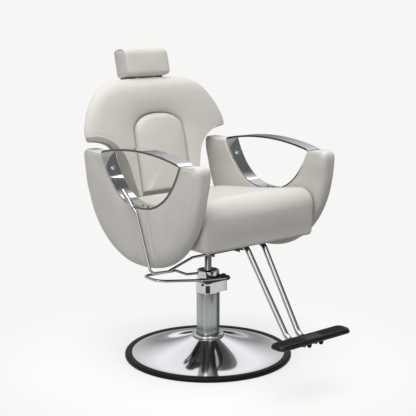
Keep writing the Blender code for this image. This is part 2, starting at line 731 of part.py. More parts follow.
# Arms: a padded half oval with a chrome strap loop let into its top
loop_right = bezier((LOOP_HALF, LOOP_DEPTH), (LOOP_HALF * 0.78, LOOP_DEPTH * 0.29),
                    (LOOP_HALF * 0.45, 0.0), (0.0, 0.0), 8)
loop_low = [(LOOP_CENTRE + y, ARM_TOP - LOOP_DEPTH + z) for y, z in loop_right]
loop_low += [(LOOP_CENTRE - y, ARM_TOP - LOOP_DEPTH + z) for y, z in loop_right[-2::-1]]
arc_radius = (LOOP_HALF ** 2 + LOOP_RISE ** 2) / (2 * LOOP_RISE)
arc_half = math.asin(LOOP_HALF / arc_radius)
loop_top = []
for i in range(1, 8):
    turn = -arc_half + 2 * arc_half * i / 8
    loop_top.append((LOOP_CENTRE + arc_radius * math.sin(turn),
                     ARM_TOP + LOOP_RISE - arc_radius * (1 - math.cos(turn))))
loop_inner = counter_clockwise(loop_low + loop_top)
loop_outer = inset(loop_inner, -STRAP_THICKNESS)
loop_seat = inset(loop_inner, -STRAP_THICKNESS - GAP)
notch = sorted((p for p in loop_seat if p[1] < ARM_TOP - 0.002), key=lambda p: p[0])
arm_outline = []
for i in range(25):
    turn = math.pi * i / 24
    across = math.cos(turn)
    down = math.sin(turn)
    if across >= 0:
        y = ARM_REAR * across ** (2 / ARM_REAR_POWER)
        z = ARM_TOP - arm_depth * down ** (2 / ARM_REAR_POWER)
    else:
        y = -ARM_FRONT * (-across) ** (2 / ARM_FRONT_POWER)
        z = ARM_TOP - arm_depth * down ** (2 / ARM_FRONT_POWER)
    arm_outline.append((y, z))
notch_ends = []
for low, high in ((notch[0], notch[1]), (notch[-1], notch[-2])):
    slope = (low[0] - high[0]) / (low[1] - high[1])
    notch_ends.append((low[0] + slope * 0.75 * (ARM_TOP - low[1]), ARM_TOP))
arm_outline += [notch_ends[0]] + notch + [notch_ends[1]]
arm_outline = counter_clockwise(arm_outline)
strap_middle = (arm_inner + arm_outer) / 2


def build_arm(side, word):
    """One arm: pad, strap loop, two dome bolts and the bracket to the rail."""
    edge = min(ARM_EDGE_ROUND, 0.4 * ARM_WIDTH)
    inner_edge = min(ARM_INNER_ROUND, 0.3 * ARM_WIDTH)
    face = arm_outer - ARM_CROWN
    rings = [(inset(arm_outline, 2 * edge), arm_outer)]
    rings += rounded_edge(arm_outline, edge, face, face - edge)[::-1]
    rings += rounded_edge(arm_outline, inner_edge, arm_inner, arm_inner + inner_edge, steps=2)
    made = bmesh.new()
    loft_into(made, [[(side * x, y, z) for y, z in ring] for ring, x in rings])
    place("arm_pad_" + word, to_mesh("arm_pad", made), LEATHER, seat)
    made = bmesh.new()
    near = side * (arm_inner + STRAP_MARGIN)
    far = side * (arm_outer - STRAP_MARGIN)
    plate_into(made, (loop_outer, loop_inner), near, far)
    place("arm_loop_" + word, to_mesh("arm_loop", made), CHROME, seat)
    bolt_z = ARM_TOP - ARM_BOLT_DROP
    for end, where in ((1.0, "rear"), (-1.0, "front")):
        pairs = [pair for pair in zip(loop_low, loop_low[1:])
                 if end * (pair[0][0] - LOOP_CENTRE) > 0
                 and min(pair[0][1], pair[1][1]) <= bolt_z <= max(pair[0][1], pair[1][1])]
        one, two = (Vector(p) for p in pairs[0])
        spot = one.lerp(two, (bolt_z - one.y) / (two.y - one.y))
        slope = (two - one).normalized()
        out = Vector((-slope.y, slope.x))
        if out.y < 0:
            out = -out
        seatpoint = spot + out * GAP
        made = bmesh.new()
        foot = Vector((side * strap_middle, seatpoint.x, seatpoint.y))
        rise = Vector((0.0, out.x, out.y))
        rod_into(made, foot, foot + rise * ARM_BOLT_HEIGHT, ARM_BOLT_RADIUS, 12, ARM_BOLT_RADIUS * 0.6)
        place("arm_bolt_%s_%s" % (where, word), to_mesh("arm_bolt", made), CHROME, seat)
    made = bmesh.new()
    tab_outer = arm_inner - GAP
    half = BRACKET_WIDTH / 2
    low = rail_bottom + 0.006
    tab_foot = arm_bottom + BRACKET_MARGIN
    section = [(rail_outer + GAP, low), (tab_outer, low),
               (tab_outer, tab_foot), (tab_outer - BRACKET_THICKNESS, tab_foot),
               (tab_outer - BRACKET_THICKNESS, low - BRACKET_THICKNESS),
               (rail_outer + GAP, low - BRACKET_THICKNESS)]
    loft_into(made, [[(side * x, y, z) for x, z in section] for y in (-half, half)])
    place("arm_bracket_" + word, to_mesh("arm_bracket", made), BLACK_STEEL, seat)


mirrored(build_arm)

# Footrest: two bent tubes in sockets, end caps and a ribbed tread
rest_top_z = rail_top - REST_TUBE - RUN - REST_SOCKET_WALL
rest_foot_z = REST_PAD_TOP - REST_PAD_THICKNESS - GAP - REST_TUBE
socket_rear = RAIL_FRONT - GAP
socket_front = socket_rear - REST_SOCKET_LENGTH


def build_rest(side, word):
    """One tube of the footrest with its socket and end cap."""
    top = side * REST_TOP_HALF
    low = side * REST_FOOT_HALF
    route = fillet([(top, socket_rear - 0.002, rest_top_z), (top, REST_TOP_Y, rest_top_z),
                    (low, REST_FOOT_Y, rest_foot_z), (low, REST_FRONT_Y, rest_foot_z)],
                   REST_BEND, steps=6)
    swept("footrest_tube_" + word, route, REST_TUBE, CHROME, seat, sides=12)
    bore = REST_TUBE + RUN
    turned("footrest_socket_" + word, [(bore, 0), (bore + REST_SOCKET_WALL, 0),
                                       (bore + REST_SOCKET_WALL, -REST_SOCKET_LENGTH),
                                       (bore, -REST_SOCKET_LENGTH)], BLACK_STEEL, seat,
           steps=16, closed=True, turn=(-math.pi / 2, 0, 0), at=(top, socket_rear, rest_top_z))
    made = bmesh.new()
    start = Vector((low, REST_FRONT_Y - GAP, rest_foot_z))
    rod_into(made, start, start - Vector((0, REST_CAP_LENGTH, 0)), REST_TUBE, 12, REST_TUBE * 0.85)
    place("footrest_cap_" + word, to_mesh("footrest_cap", made), RUBBER, seat)


mirrored(build_rest)
pad_corners = [(-REST_PAD_HALF, REST_PAD_FRONT), (REST_PAD_HALF, REST_PAD_FRONT),
               (REST_PAD_HALF, REST_PAD_REAR), (-REST_PAD_HALF, REST_PAD_REAR)]
pad_outline = []
for i in range(4):
    trio = [pad_corners[i - 1], pad_corners[i], pad_corners[(i + 1) % 4]]
    bend = fillet([(*point, 0.0) for point in trio], 0.014, steps=4)
    pad_outline += [(point.x, point.y) for point in bend[1:-1]]
pad_outline = counter_clockwise(pad_outline)
pad_bottom = REST_PAD_TOP - REST_PAD_THICKNESS
pad_rings = [(inset(pad_outline, 0.002), pad_bottom), (pad_outline, pad_bottom + 0.003),
             (pad_outline, REST_PAD_TOP - 0.005), (inset(pad_outline, 0.005), REST_PAD_TOP)]
bm = bmesh.new()
loft_into(bm, [[(x, y, z) for x, y in ring] for ring, z in pad_rings])
rest_pad = place("footrest_pad", to_mesh("footrest_pad", bm), RUBBER, seat)
bm = bmesh.new()
groove_middle = (REST_PAD_REAR + REST_PAD_FRONT) / 2
for shift in (-0.016, -0.008, 0.0, 0.008, 0.016):
    for low, high in ((-REST_PAD_HALF + 0.014, -0.036), (0.036, REST_PAD_HALF - 0.014)):
        box_into(bm, (low, groove_middle + shift - 0.0015, REST_PAD_TOP - 0.0012),
                 (high, groove_middle + shift + 0.0015, REST_PAD_TOP + 0.002))
boolean(rest_pad, cutter_from("tread_grooves", bm, seat))

# Back cushion: winged outline with a crown and an arched pocket for the panel
foot_lift = HINGE_DROP


def back_point(u, depth, v):
    """A point of the back in its own plane: across, rearwards, up from the foot."""
    return (u, depth - upright_depth, v + foot_lift)


crown_height = BACK_HEIGHT - WING_HEIGHT - 0.008
half_outline = []
for i in range(13):
    turn = math.pi / 2 * i / 12
    half_outline.append((BACK_HALF * math.sin(turn) ** (2 / BACK_POWER),
                         WING_HEIGHT + 0.008 + crown_height * math.cos(turn) ** (2 / BACK_POWER)))
half_outline += bezier((BACK_HALF - 0.004, WING_HEIGHT), (BACK_HALF * 0.63, WING_HEIGHT - 0.001),
                       (STEM_HALF + 0.035, WING_HEIGHT * 0.53), (STEM_HALF, 0.0), 10)
half_outline.append((STEM_HALF - 0.006, -STEM_DROP))
back_outline = counter_clockwise(half_outline + [(-u, v) for u, v in half_outline[:0:-1]])
back_middle = (0.0, WING_HEIGHT - 0.006)


def thinned(amount):
    """The winged outline drawn in for the rear: most at the wings, least at the top."""
    moved = []
    for u, v in back_outline:
        share = min(1.0, max(0.0, (BACK_HEIGHT - v) / (BACK_HEIGHT - WING_HEIGHT)))
        away = Vector((u, v)) - Vector(back_middle)
        moved.append(tuple(Vector(back_middle) + away * (1.0 - amount * share / away.length)))
    return moved


back_rings = []
for draw, depth in ((1.0, 1.0), (0.6, 0.8), (0.3, 0.6)):
    back_rings.append((thinned(BACK_REAR_ROUND * draw), BACK_THICKNESS * depth))
for i in range(5):
    turn = math.pi / 2 * i / 4
    ring = drawn_in(back_outline, BACK_ROUND * (1 - math.cos(turn)), back_middle)
    back_rings.append((ring, BACK_ROLL * (1 - math.sin(turn))))
for share, rise in ((0.8, 0.45), (0.5, 0.85), (0.2, 1.0)):
    back_rings.append((scaled(ring, share, back_middle), -BACK_CROWN * rise))
bm = bmesh.new()
loft_into(bm, [[back_point(u, depth, v) for u, v in ring] for ring, depth in back_rings])
back_cushion = place("back_cushion", to_mesh("back_cushion", bm), LEATHER, back, local=True)


def arch(margin):
    """The arched outline of the panel, grown by a margin."""
    half = PANEL_HALF + margin
    rise = PANEL_ARCH + margin
    points = [(half, PANEL_BOTTOM - margin)]
    for i in range(13):
        turn = math.pi * i / 12
        points.append((half * math.cos(turn), panel_shoulder + rise * math.sin(turn)))
    points.append((-half, PANEL_BOTTOM - margin))
    return counter_clockwise(points)


pocket = [(u, v if v > PANEL_BOTTOM else -STEM_DROP - 0.02) for u, v in arch(PANEL_SEAM)]
bm = bmesh.new()
loft_into(bm, [[back_point(u, depth, v) for u, v in pocket] for depth in (-0.06, PANEL_DEPTH + GAP)])
boolean(back_cushion, cutter_from("panel_pocket", bm, back, local=True))
panel = arch(0.0)
panel_edge = rounded_edge(panel, 0.016, -0.004, 0.012, steps=3)
panel_middle = (0.0, (PANEL_BOTTOM + panel_top) / 2)
panel_rings = [(panel, PANEL_DEPTH)] + panel_edge
for share, rise in ((0.7, 0.65), (0.3, 1.0)):
    inner = scaled(panel_edge[-1][0], share, panel_middle)
    panel_rings.append((inner, -0.004 - (PANEL_CROWN - 0.004) * rise))
bm = bmesh.new()
loft_into(bm, [[back_point(u, depth, v) for u, v in ring] for ring, depth in panel_rings])
place("lumbar_panel", to_mesh("lumbar_panel", bm), LEATHER, back, local=True)

# Rear cover with grooves for the two uprights
cover_outline = thinned(BACK_REAR_ROUND + 0.002)
cover_front = BACK_THICKNESS + GAP
cover_rear = cover_front + COVER_THICKNESS
cover_rings = [(cover_outline, cover_front), (cover_outline, cover_rear - 0.008),
               (drawn_in(cover_outline, 0.007, back_middle), cover_rear - 0.003),
               (drawn_in(cover_outline, 0.018, back_middle), cover_rear)]
bm = bmesh.new()
loft_into(bm, [[back_point(u, depth, v) for u, v in ring] for ring, depth in cover_rings])
cover = place("back_cover", to_mesh("back_cover", bm), LEATHER, back, local=True)
bm = bmesh.new()
for side in (-1.0, 1.0):
    ends = sorted((side * (rail_inner - GAP), side * (rail_outer + GAP)))
    box_into(bm, (ends[0], -UPRIGHT_THICKNESS / 2 - 0.01, -0.02),
             (ends[1], UPRIGHT_THICKNESS / 2 + GAP, UPRIGHT_LENGTH + GAP))
boolean(cover, cutter_from("upright_grooves", bm, back, local=True))

# Recline hinge: uprights on a shaft in two clevises, crank down to the spring
hinge_bore = SHAFT_RADIUS + RUN


def build_hinge(side, word):
    """One upright of the back and the clevis that carries it."""
    ends = sorted((side * rail_inner, side * rail_outer))
    made = bmesh.new()
    box_into(made, (ends[0], -UPRIGHT_THICKNESS / 2, 0.0), (ends[1], UPRIGHT_THICKNESS / 2, UPRIGHT_LENGTH))
    upright = place("back_upright_" + word, to_mesh("back_upright", made), BLACK_STEEL, back, local=True)
    made = bmesh.new()
    rod_into(made, (ends[0], 0, 0), (ends[1], 0, 0), BARREL_RADIUS, 16)
    boolean(upright, cutter_from("barrel_" + word, made, back, local=True), 'UNION')
    made = bmesh.new()
    rod_into(made, (ends[0] - 0.01, 0, 0), (ends[1] + 0.01, 0, 0), hinge_bore, 16)
    boolean(upright, cutter_from("barrel_bore_" + word, made, back, local=True))
    low = rail_bottom - GAP - EAR_THICKNESS
    front = hinge.y - 0.018
    outer = (ends[0] - GAP - EAR_THICKNESS, ends[1] + GAP + EAR_THICKNESS)
    made = bmesh.new()
    box_into(made, (outer[0], front, low), (outer[1], RAIL_REAR, hinge.z + 0.014))
    clevis = place("hinge_clevis_" + word, to_mesh("hinge_clevis", made), BLACK_STEEL, seat)
    made = bmesh.new()
    box_into(made, (ends[0] - GAP, front - 0.01, rail_bottom - GAP),
             (ends[1] + GAP, RAIL_REAR + 0.01, hinge.z + 0.03))
    boolean(clevis, cutter_from("clevis_slot_" + word, made, seat))
    made = bmesh.new()
    rod_into(made, (outer[0] - 0.01, hinge.y, hinge.z), (outer[1] + 0.01, hinge.y, hinge.z), hinge_bore, 16)
    boolean(clevis, cutter_from("clevis_bore_" + word, made, seat))


mirrored(build_hinge)
shaft_half = rail_outer + GAP + EAR_THICKNESS + 0.006
rod_piece("hinge_shaft", (-shaft_half, hinge.y, hinge.z), (shaft_half, hinge.y, hinge.z),
          SHAFT_RADIUS, BRUSHED, recline, sides=16)
tube_half = rail_inner - GAP - EAR_THICKNESS - GAP
bm = bmesh.new()
rod_into(bm, (-tube_half, hinge.y, hinge.z), (tube_half, hinge.y, hinge.z), BARREL_RADIUS, 16)
crank = place("recline_crank", to_mesh("recline_crank", bm), BLACK_STEEL, recline)
cheek = EYE_WIDTH / 2 + CRANK_GAP
for number, x in enumerate((SPRING_X - cheek - CRANK_PLATE, SPRING_X + cheek)):
    along = (crank_rest - hinge).normalized()
    across = Vector((0.0, -along.z, along.y))
    outline = []
    for i in range(7):
        turn = math.pi * i / 6
        outline.append(crank_rest + (across * math.cos(turn) + along * math.sin(turn)) * CRANK_HEAD)
    outline += [hinge - across * (BARREL_RADIUS - 0.002), hinge + across * (BARREL_RADIUS - 0.002)]
    bm = bmesh.new()
    plate_into(bm, [[(p.y, p.z) for p in outline]], x, x + CRANK_PLATE)
    boolean(crank, cutter_from("crank_cheek_%d" % number, bm, recline), 'UNION')
bm = bmesh.new()
rod_into(bm, (SPRING_X - cheek - 0.002, crank_rest.y, crank_rest.z),
         (SPRING_X + cheek + 0.002, crank_rest.y, crank_rest.z), CRANK_PIN, 12)
boolean(crank, cutter_from("crank_pin", bm, recline), 'UNION')
bm = bmesh.new()
rod_into(bm, (-rail_outer, hinge.y, hinge.z), (rail_outer, hinge.y, hinge.z), SHAFT_RADIUS + GAP, 16)
boolean(crank, cutter_from("crank_bore", bm, recline))

# Lockable gas spring: rod fixed in the release block, cylinder on the crank
block_front = cross_rear + GAP
block_rear = block_front + HEAD_LENGTH
rod_front = block_front + HEAD_LENGTH * 0.53
release_block = box_piece("release_block", (SPRING_X - HEAD_BLOCK / 2, block_front, rail_bottom + 0.003),
                          (SPRING_X + HEAD_BLOCK / 2, block_rear, rail_top - 0.001), BRUSHED, seat)
bm = bmesh.new()
rod_into(bm, (SPRING_X, rod_front - GAP, SPRING_Z), (SPRING_X, block_rear + 0.01, SPRING_Z),
         SPRING_ROD + GAP, 16)
boolean(release_block, cutter_from("rod_bore", bm, seat))
bm = bmesh.new()
rod_into(bm, (SPRING_X, pin_y, rail_bottom - 0.01), (SPRING_X, pin_y, PIN_TOP + 0.0075),
         PIN_RADIUS + RUN, 12)
boolean(release_block, cutter_from("pin_bore", bm, seat))
cylinder_rear = crank_rest.y - 0.042
cylinder_front = cylinder_rear - SPRING_LENGTH
cylinder_bore = SPRING_RADIUS - SPRING_WALL
rod_rear = cylinder_front + SPRING_INSERT
turned("gas_spring_rod", [(0, 0), (cylinder_bore - RUN, 0), (cylinder_bore - RUN, -0.012),
                          (SPRING_ROD, -0.012), (SPRING_ROD, rod_front - rod_rear),
                          (0, rod_front - rod_rear)], CHROME, seat, steps=16,
       turn=(-math.pi / 2, 0, 0), at=(SPRING_X, rod_rear, SPRING_Z))
cylinder = turned("gas_spring_cylinder", [(0, 0), (SPRING_RADIUS, 0), (SPRING_RADIUS, -SPRING_LENGTH),
                                          (SPRING_ROD + RUN, -SPRING_LENGTH),
                                          (SPRING_ROD + RUN, -SPRING_LENGTH + 0.010),
                                          (cylinder_bore, -SPRING_LENGTH + 0.010),
                                          (cylinder_bore, -0.012), (0, -0.012)], BLACK_STEEL, spring,
                  steps=16, turn=(-math.pi / 2, 0, 0), at=(SPRING_X, cylinder_rear, SPRING_Z))
bm = bmesh.new()
rod_into(bm, (SPRING_X, cylinder_rear - 0.004, SPRING_Z),
         (SPRING_X, crank_rest.y - EYE_RADIUS + 0.003, SPRING_Z), EYE_NECK, 12)
boolean(cylinder, cutter_from("eye_neck", bm, spring), 'UNION')
bm = bmesh.new()
rod_into(bm, (SPRING_X - EYE_WIDTH / 2, crank_rest.y, SPRING_Z),
         (SPRING_X + EYE_WIDTH / 2, crank_rest.y, SPRING_Z), EYE_RADIUS, 20)
boolean(cylinder, cutter_from("spring_eye", bm, spring), 'UNION')
bm = bmesh.new()
rod_into(bm, (SPRING_X - 0.02, crank_rest.y, SPRING_Z), (SPRING_X + 0.02, crank_rest.y, SPRING_Z),
         CRANK_PIN + EYE_PLAY, 16)
boolean(cylinder, cutter_from("eye_bore", bm, spring))

# Recline lever on its bracket, with the finger that pushes the release pin
bracket_left = 0.040
bracket_right = -0.080
bm = bmesh.new()
box_into(bm, (bracket_right, RAIL_FRONT, LEVER_Z - 0.010), (bracket_left, cross_rear, rail_bottom - GAP))
lever_bracket = place("lever_bracket", to_mesh("lever_bracket", bm), BLACK_STEEL, seat)
bm = bmesh.new()
box_into(bm, (bracket_right + EAR_THICKNESS, RAIL_FRONT - 0.01, LEVER_Z - 0.03),
         (bracket_left - EAR_THICKNESS, cross_rear + 0.01, rail_bottom - GAP - EAR_THICKNESS))
boolean(lever_bracket, cutter_from("bracket_slot", bm, seat))
bm = bmesh.new()
rod_into(bm, (bracket_right - 0.02, LEVER_Y, LEVER_Z), (bracket_left + 0.02, LEVER_Y, LEVER_Z),
         LEVER_WIRE + RUN, 16)
boolean(lever_bracket, cutter_from("bracket_bore", bm, seat))
knee = Vector((lever_x, LOOP_CENTRE - 0.005, ARM_TOP - LOOP_DEPTH - KNEE_DROP))
grip_foot = knee + Vector((0.0, 0.016, 0.014))
grip_way = Vector((0.0, 0.059, 0.052)).normalized()
lever_route = fillet([grip_foot + grip_way * 0.012, knee, (lever_x, -0.098, lever_low),
                      (-arm_inner, LEVER_Y, lever_low), (-0.150, LEVER_Y, LEVER_Z),
                      (SPRING_X + 0.020, LEVER_Y, LEVER_Z)], 0.018, steps=4)
swept("recline_lever", lever_route, LEVER_WIRE, CHROME, lever, sides=8)
grip_turn = Vector((0, 0, 1)).rotation_difference(grip_way).to_euler()
grip_hole = LEVER_WIRE + GAP
turned("lever_grip", [(0, GRIP_LENGTH), (GRIP_RADIUS * 0.7, GRIP_LENGTH),
                      (GRIP_RADIUS, GRIP_LENGTH - 0.003), (GRIP_RADIUS, 0.004), (GRIP_RADIUS * 0.8, 0),
                      (grip_hole, 0), (grip_hole, 0.013), (0, 0.013)], CHROME, lever, steps=16,
       turn=grip_turn, at=grip_foot)
finger_outline = [(LEVER_Y - 0.010, LEVER_Z - FINGER_TOP), (LEVER_Y + FINGER_REACH, LEVER_Z - 0.003),
                  (LEVER_Y + FINGER_REACH, LEVER_Z + FINGER_TOP), (LEVER_Y - 0.010, LEVER_Z + FINGER_TOP)]
bm = bmesh.new()
plate_into(bm, [finger_outline], SPRING_X - FINGER_WIDTH / 2, SPRING_X + FINGER_WIDTH / 2)
finger = place("release_finger", to_mesh("release_finger", bm), BLACK_STEEL, lever)
bm = bmesh.new()
rod_into(bm, (SPRING_X - 0.03, LEVER_Y, LEVER_Z), (SPRING_X + 0.03, LEVER_Y, LEVER_Z),
         LEVER_WIRE + GAP, 16)
boolean(finger, cutter_from("finger_bore", bm, lever))
rod_piece("release_pin", (SPRING_X, pin_y, LEVER_Z + FINGER_TOP + RUN), (SPRING_X, pin_y, PIN_TOP),
          PIN_RADIUS, BRUSHED, release, sides=12)

# Headrest: bolster on two posts that slide in ferrules in the back
ferrule_bore = POST_RADIUS + RUN
half_post = POST_DEPTH - upright_depth
ferrule_top = BACK_HEIGHT - 0.006
rest_section = []
half_depth = HEADREST_DEPTH / 2
squareness = 2 / HEADREST_POWER
for i in range(24):
    turn = 2 * math.pi * i / 24
    c = math.cos(turn)
    s = math.sin(turn)
    rest_section.append((half_depth * math.copysign(abs(c) ** squareness, c),
                         HEADREST_HEIGHT / 2 * math.copysign(abs(s) ** squareness, s)))
rest_section = counter_clockwise(rest_section)
rest_rings = []
for share, draw in ((-1.0, 0.010), (-0.985, 0.003), (-0.95, 0.0), (-0.5, -0.75 * HEADREST_CROWN),
                    (0.0, -HEADREST_CROWN), (0.5, -0.75 * HEADREST_CROWN), (0.95, 0.0),
                    (0.985, 0.003), (1.0, 0.010)):
    rest_rings.append([(HEADREST_HALF * share, d, HEADREST_HEIGHT / 2 + HEADREST_CROWN + h)
                       for d, h in shrunk(rest_section, draw)])
bm = bmesh.new()
loft_into(bm, rest_rings)
rest_cushion = place("headrest_cushion", to_mesh("headrest_cushion", bm), LEATHER, headrest, local=True)


def build_post(side, word):
    """One post of the headrest and the ferrule it slides in."""
    u = side * POST_HALF
    foot = post_bottom - headrest_bottom
    top = HEADREST_HEIGHT * 0.55
    made = bmesh.new()
    rod_into(made, (u, 0, foot), (u, 0, top), POST_RADIUS, 12)
    place("headrest_post_" + word, to_mesh("headrest_post", made), CHROME, headrest, local=True)
    made = bmesh.new()
    rod_into(made, (u, 0, -0.02), (u, 0, top + GAP), POST_RADIUS + GAP, 12)
    boolean(rest_cushion, cutter_from("post_bore_" + word, made, headrest, local=True))
    made = bmesh.new()
    low = post_bottom - 0.004
    start = back_point(u, POST_DEPTH, low)
    rod_into(made, start, back_point(u, POST_DEPTH, ferrule_top), FERRULE_RADIUS, 16)
    ferrule = place("headrest_ferrule_" + word, to_mesh("headrest_ferrule", made), BLACK_STEEL, back,
                    local=True)
    made = bmesh.new()
    rod_into(made, back_point(u, POST_DEPTH, low + 0.003), back_point(u, POST_DEPTH, ferrule_top + 0.02),
             ferrule_bore, 12)
    boolean(ferrule, cutter_from("ferrule_bore_" + word, made, back, local=True))
    made = bmesh.new()
    rod_into(made, back_point(u, POST_DEPTH, low - GAP), back_point(u, POST_DEPTH, BACK_HEIGHT + 0.03),
             FERRULE_RADIUS + GAP, 16)
    boolean(back_cushion, cutter_from("ferrule_seat_" + word, made, back, local=True))


mirrored(build_post)
print("hinge", tuple(round(v, 4) for v in hinge), "crank pin", tuple(round(v, 4) for v in crank_rest))
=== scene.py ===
# %% [markdown]
# # A reclining hairdressing chair
# A padded chair on a hydraulic pump: round chromed base, foot pedal, strap arms, a winged back
# that reclines and a small headrest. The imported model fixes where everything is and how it
# moves. This lesson dresses it: covers with seams, finer metal, finishes, light and a camera.

# %% Load the frame
import math
import bmesh
import bpy
import numpy as np
from mathutils import Matrix, Vector
from mathutils.bvhtree import BVHTree


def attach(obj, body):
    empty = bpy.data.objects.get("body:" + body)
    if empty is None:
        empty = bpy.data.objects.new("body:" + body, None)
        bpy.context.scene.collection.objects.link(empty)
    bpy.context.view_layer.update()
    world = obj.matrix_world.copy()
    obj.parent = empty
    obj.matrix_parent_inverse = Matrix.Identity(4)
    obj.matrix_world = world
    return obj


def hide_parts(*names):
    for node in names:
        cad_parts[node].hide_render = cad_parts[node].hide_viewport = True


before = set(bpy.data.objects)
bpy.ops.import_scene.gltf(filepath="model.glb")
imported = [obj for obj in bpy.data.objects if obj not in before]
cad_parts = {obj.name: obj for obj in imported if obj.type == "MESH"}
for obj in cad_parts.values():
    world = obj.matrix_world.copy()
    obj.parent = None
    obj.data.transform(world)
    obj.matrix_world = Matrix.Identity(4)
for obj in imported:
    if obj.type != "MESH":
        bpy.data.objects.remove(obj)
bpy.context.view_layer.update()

# %% [markdown]
# ## Camera
# The photograph looks at the chair's right front from a little above the seat. A long lens keeps
# the arms parallel. The view is set by plain numbers, because the frame never moves.

# %% Camera
eye = bpy.data.cameras.new("photo_view")
eye.lens = 91.5
eye.sensor_width = 36.0
camera = bpy.data.objects.new("photo_view", eye)
camera.location = (-2.334, -2.783, 1.256)
camera.rotation_euler = (math.radians(78.769), 0.0, math.radians(-39.983))
bpy.context.scene.collection.objects.link(camera)
bpy.context.scene.camera = camera
print("camera", tuple(round(v, 3) for v in camera.location), "lens", eye.lens)

# %% [markdown]
# ## From points to a piece
# Most pieces here are skins over rings of points: turned metal, bent rod and padded covers alike.
# Modifiers could spin or sweep them too, but a ring skin lets every piece share a few small
# helpers, and its points can still be pushed about afterwards. Right and left are the sitter's.

# %% Skins over rings
GAP = 0.0003
SIDES = ((-1.0, "right"), (1.0, "left"))


def skin_piece(name, points, faces, sharp=40.0):
    """Make a smooth-shaded piece, creased where its faces meet at more than an angle."""
    mesh = bpy.data.meshes.new(name)
    mesh.from_pydata([tuple(p) for p in points], [], [tuple(f) for f in faces])
    bm = bmesh.new()
    bm.from_mesh(mesh)
    bmesh.ops.remove_doubles(bm, verts=bm.verts, dist=0.00002)
    bmesh.ops.recalc_face_normals(bm, faces=bm.faces)
    bm.to_mesh(mesh)
    bm.free()
    mesh.shade_smooth()
    mesh.set_sharp_from_angle(angle=math.radians(sharp))
    piece = bpy.data.objects.new(name, mesh)
    bpy.context.scene.collection.objects.link(piece)
    return piece


def ring_skin(rings, closed=False):
    """Points and faces that join rings of equal count, the ends closed by fans."""
    points = [tuple(p) for ring in rings for p in ring]
    count = len(rings[0])
    faces = []
    pairs = [(k, k + 1) for k in range(len(rings) - 1)]
    if closed:
        pairs.append((len(rings) - 1, 0))
    for low, high in pairs:
        for i in range(count):
            j = (i + 1) % count
            faces.append((low * count + i, low * count + j, high * count + j, high * count + i))
    if not closed:
        for k in (0, len(rings) - 1):
            middle = len(points)
            points.append(tuple(np.mean(np.array(rings[k], float), axis=0)))
            for i in range(count):
                faces.append((middle, k * count + i, k * count + (i + 1) % count))
    return points, faces


def add_skin(points, faces, rings):
    """Add one more skin over rings to points and faces."""
    first = len(points)
    more_points, more_faces = ring_skin(rings)
    points += more_points
    faces += [tuple(first + i for i in face) for face in more_faces]


def lathe(name, profile, steps=96, closed=False):
    """Spin a profile of (radius, height) points about Z."""
    turns = [2 * math.pi * k / steps for k in range(steps)]
    rings = [[(r * math.cos(t), r * math.sin(t), z) for t in turns] for r, z in profile]
    return skin_piece(name, *ring_skin(rings, closed))


def rounded(corners, radius, steps=5):
    """Round the corners of a closed flat outline."""
    made = []
    count = len(corners)
    for i in range(count):
        corner = Vector(corners[i])
        one = Vector(corners[i - 1]) - corner
        two = Vector(corners[(i + 1) % count]) - corner
        reach = min(radius, 0.45 * one.length, 0.45 * two.length)
        first = corner + one.normalized() * reach
        last = corner + two.normalized() * reach
        for k in range(steps + 1):
            t = k / steps
            made.append(tuple(first * (1 - t) ** 2 + corner * (2 * t * (1 - t)) + last * t * t))
    return made


print("helpers for skins ready")

# %% [markdown]
# ## Bent rod and tube
# The pedal, lever and footrest are bent round bar. A curve with a bevel would do, but here the
# ring is carried along the route without twisting, so the ends can be chamfered like cut bar.

# %% Bent rod


def fillet(points, radius, steps=10):
    """Round the corners of a route of points."""
    route = [Vector(points[0])]
    for before, corner, after in zip(points, points[1:], points[2:]):
        corner = Vector(corner)
        one = (Vector(before) - corner).normalized()
        two = (Vector(after) - corner).normalized()
        half = one.angle(two) / 2
        if half > math.radians(88.0):
            route.append(corner)
            continue
        reach = radius / math.tan(half)
        room = 0.48 * min((Vector(before) - corner).length, (Vector(after) - corner).length)
        size = radius * min(1.0, room / reach)
        reach = min(reach, room)
        centre = corner + (one + two).normalized() * (size / math.sin(half))
        first = corner + one * reach - centre
        last = corner + two * reach - centre
        for i in range(steps + 1):
            turn = first.normalized().slerp(last.normalized(), i / steps)
            route.append(centre + turn * first.length)
    route.append(Vector(points[-1]))
    return route


def tube(name, route, radius, sides=20, chamfer=0.2):
    """Sweep a circle along a route, both ends closed and chamfered."""
    route = [Vector(p) for p in route]
    ways = []
    for i in range(len(route)):
        before = route[max(0, i - 1)]
        after = route[min(len(route) - 1, i + 1)]
        ways.append((after - before).normalized())
    side = ways[0].orthogonal().normalized()
    rings = []
    for i, (point, way) in enumerate(zip(route, ways)):
        if i:
            side = ways[i - 1].rotation_difference(way) @ side
        across = way.cross(side)
        turns = [2 * math.pi * k / sides for k in range(sides)]
        ring = [side * math.cos(t) + across * math.sin(t) for t in turns]
        cut = [point + p * radius * (1 - chamfer) for p in ring]
        if i == 0:
            rings += [cut, [point + p * radius + way * radius * chamfer for p in ring]]
        elif i == len(route) - 1:
            rings += [[point + p * radius - way * radius * chamfer for p in ring], cut]
        else:
            rings.append([point + p * radius for p in ring])
    return skin_piece(name, *ring_skin(rings), sharp=32.0)


print("helpers for rod ready")

# %% [markdown]
# ## How a piece joins the chair
# Each piece rides on one moving body, stands for the plain solid it hides, and takes its finish.
# One call does the three, so none is forgotten.


def fit(piece, body, slot, finish, *nodes):
    """Hang a piece on a body, give it its finish and hide the solids it stands for. The slot is not used."""
    if finish is not None:
        piece.data.materials.clear()
        piece.data.materials.append(finish)
    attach(piece, body)
    if nodes:
        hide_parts(*nodes)
    return piece


# %% [markdown]
# ## Shared surface effects
# Real surfaces are never even. Three effects recur: the pebble grain of coated leather, the faint
# wipe marks on polished metal, and paint that is thinner on edges. Each is a node group that puts
# out values which change over the surface; every finish then uses them in its own way.

# %% Node groups


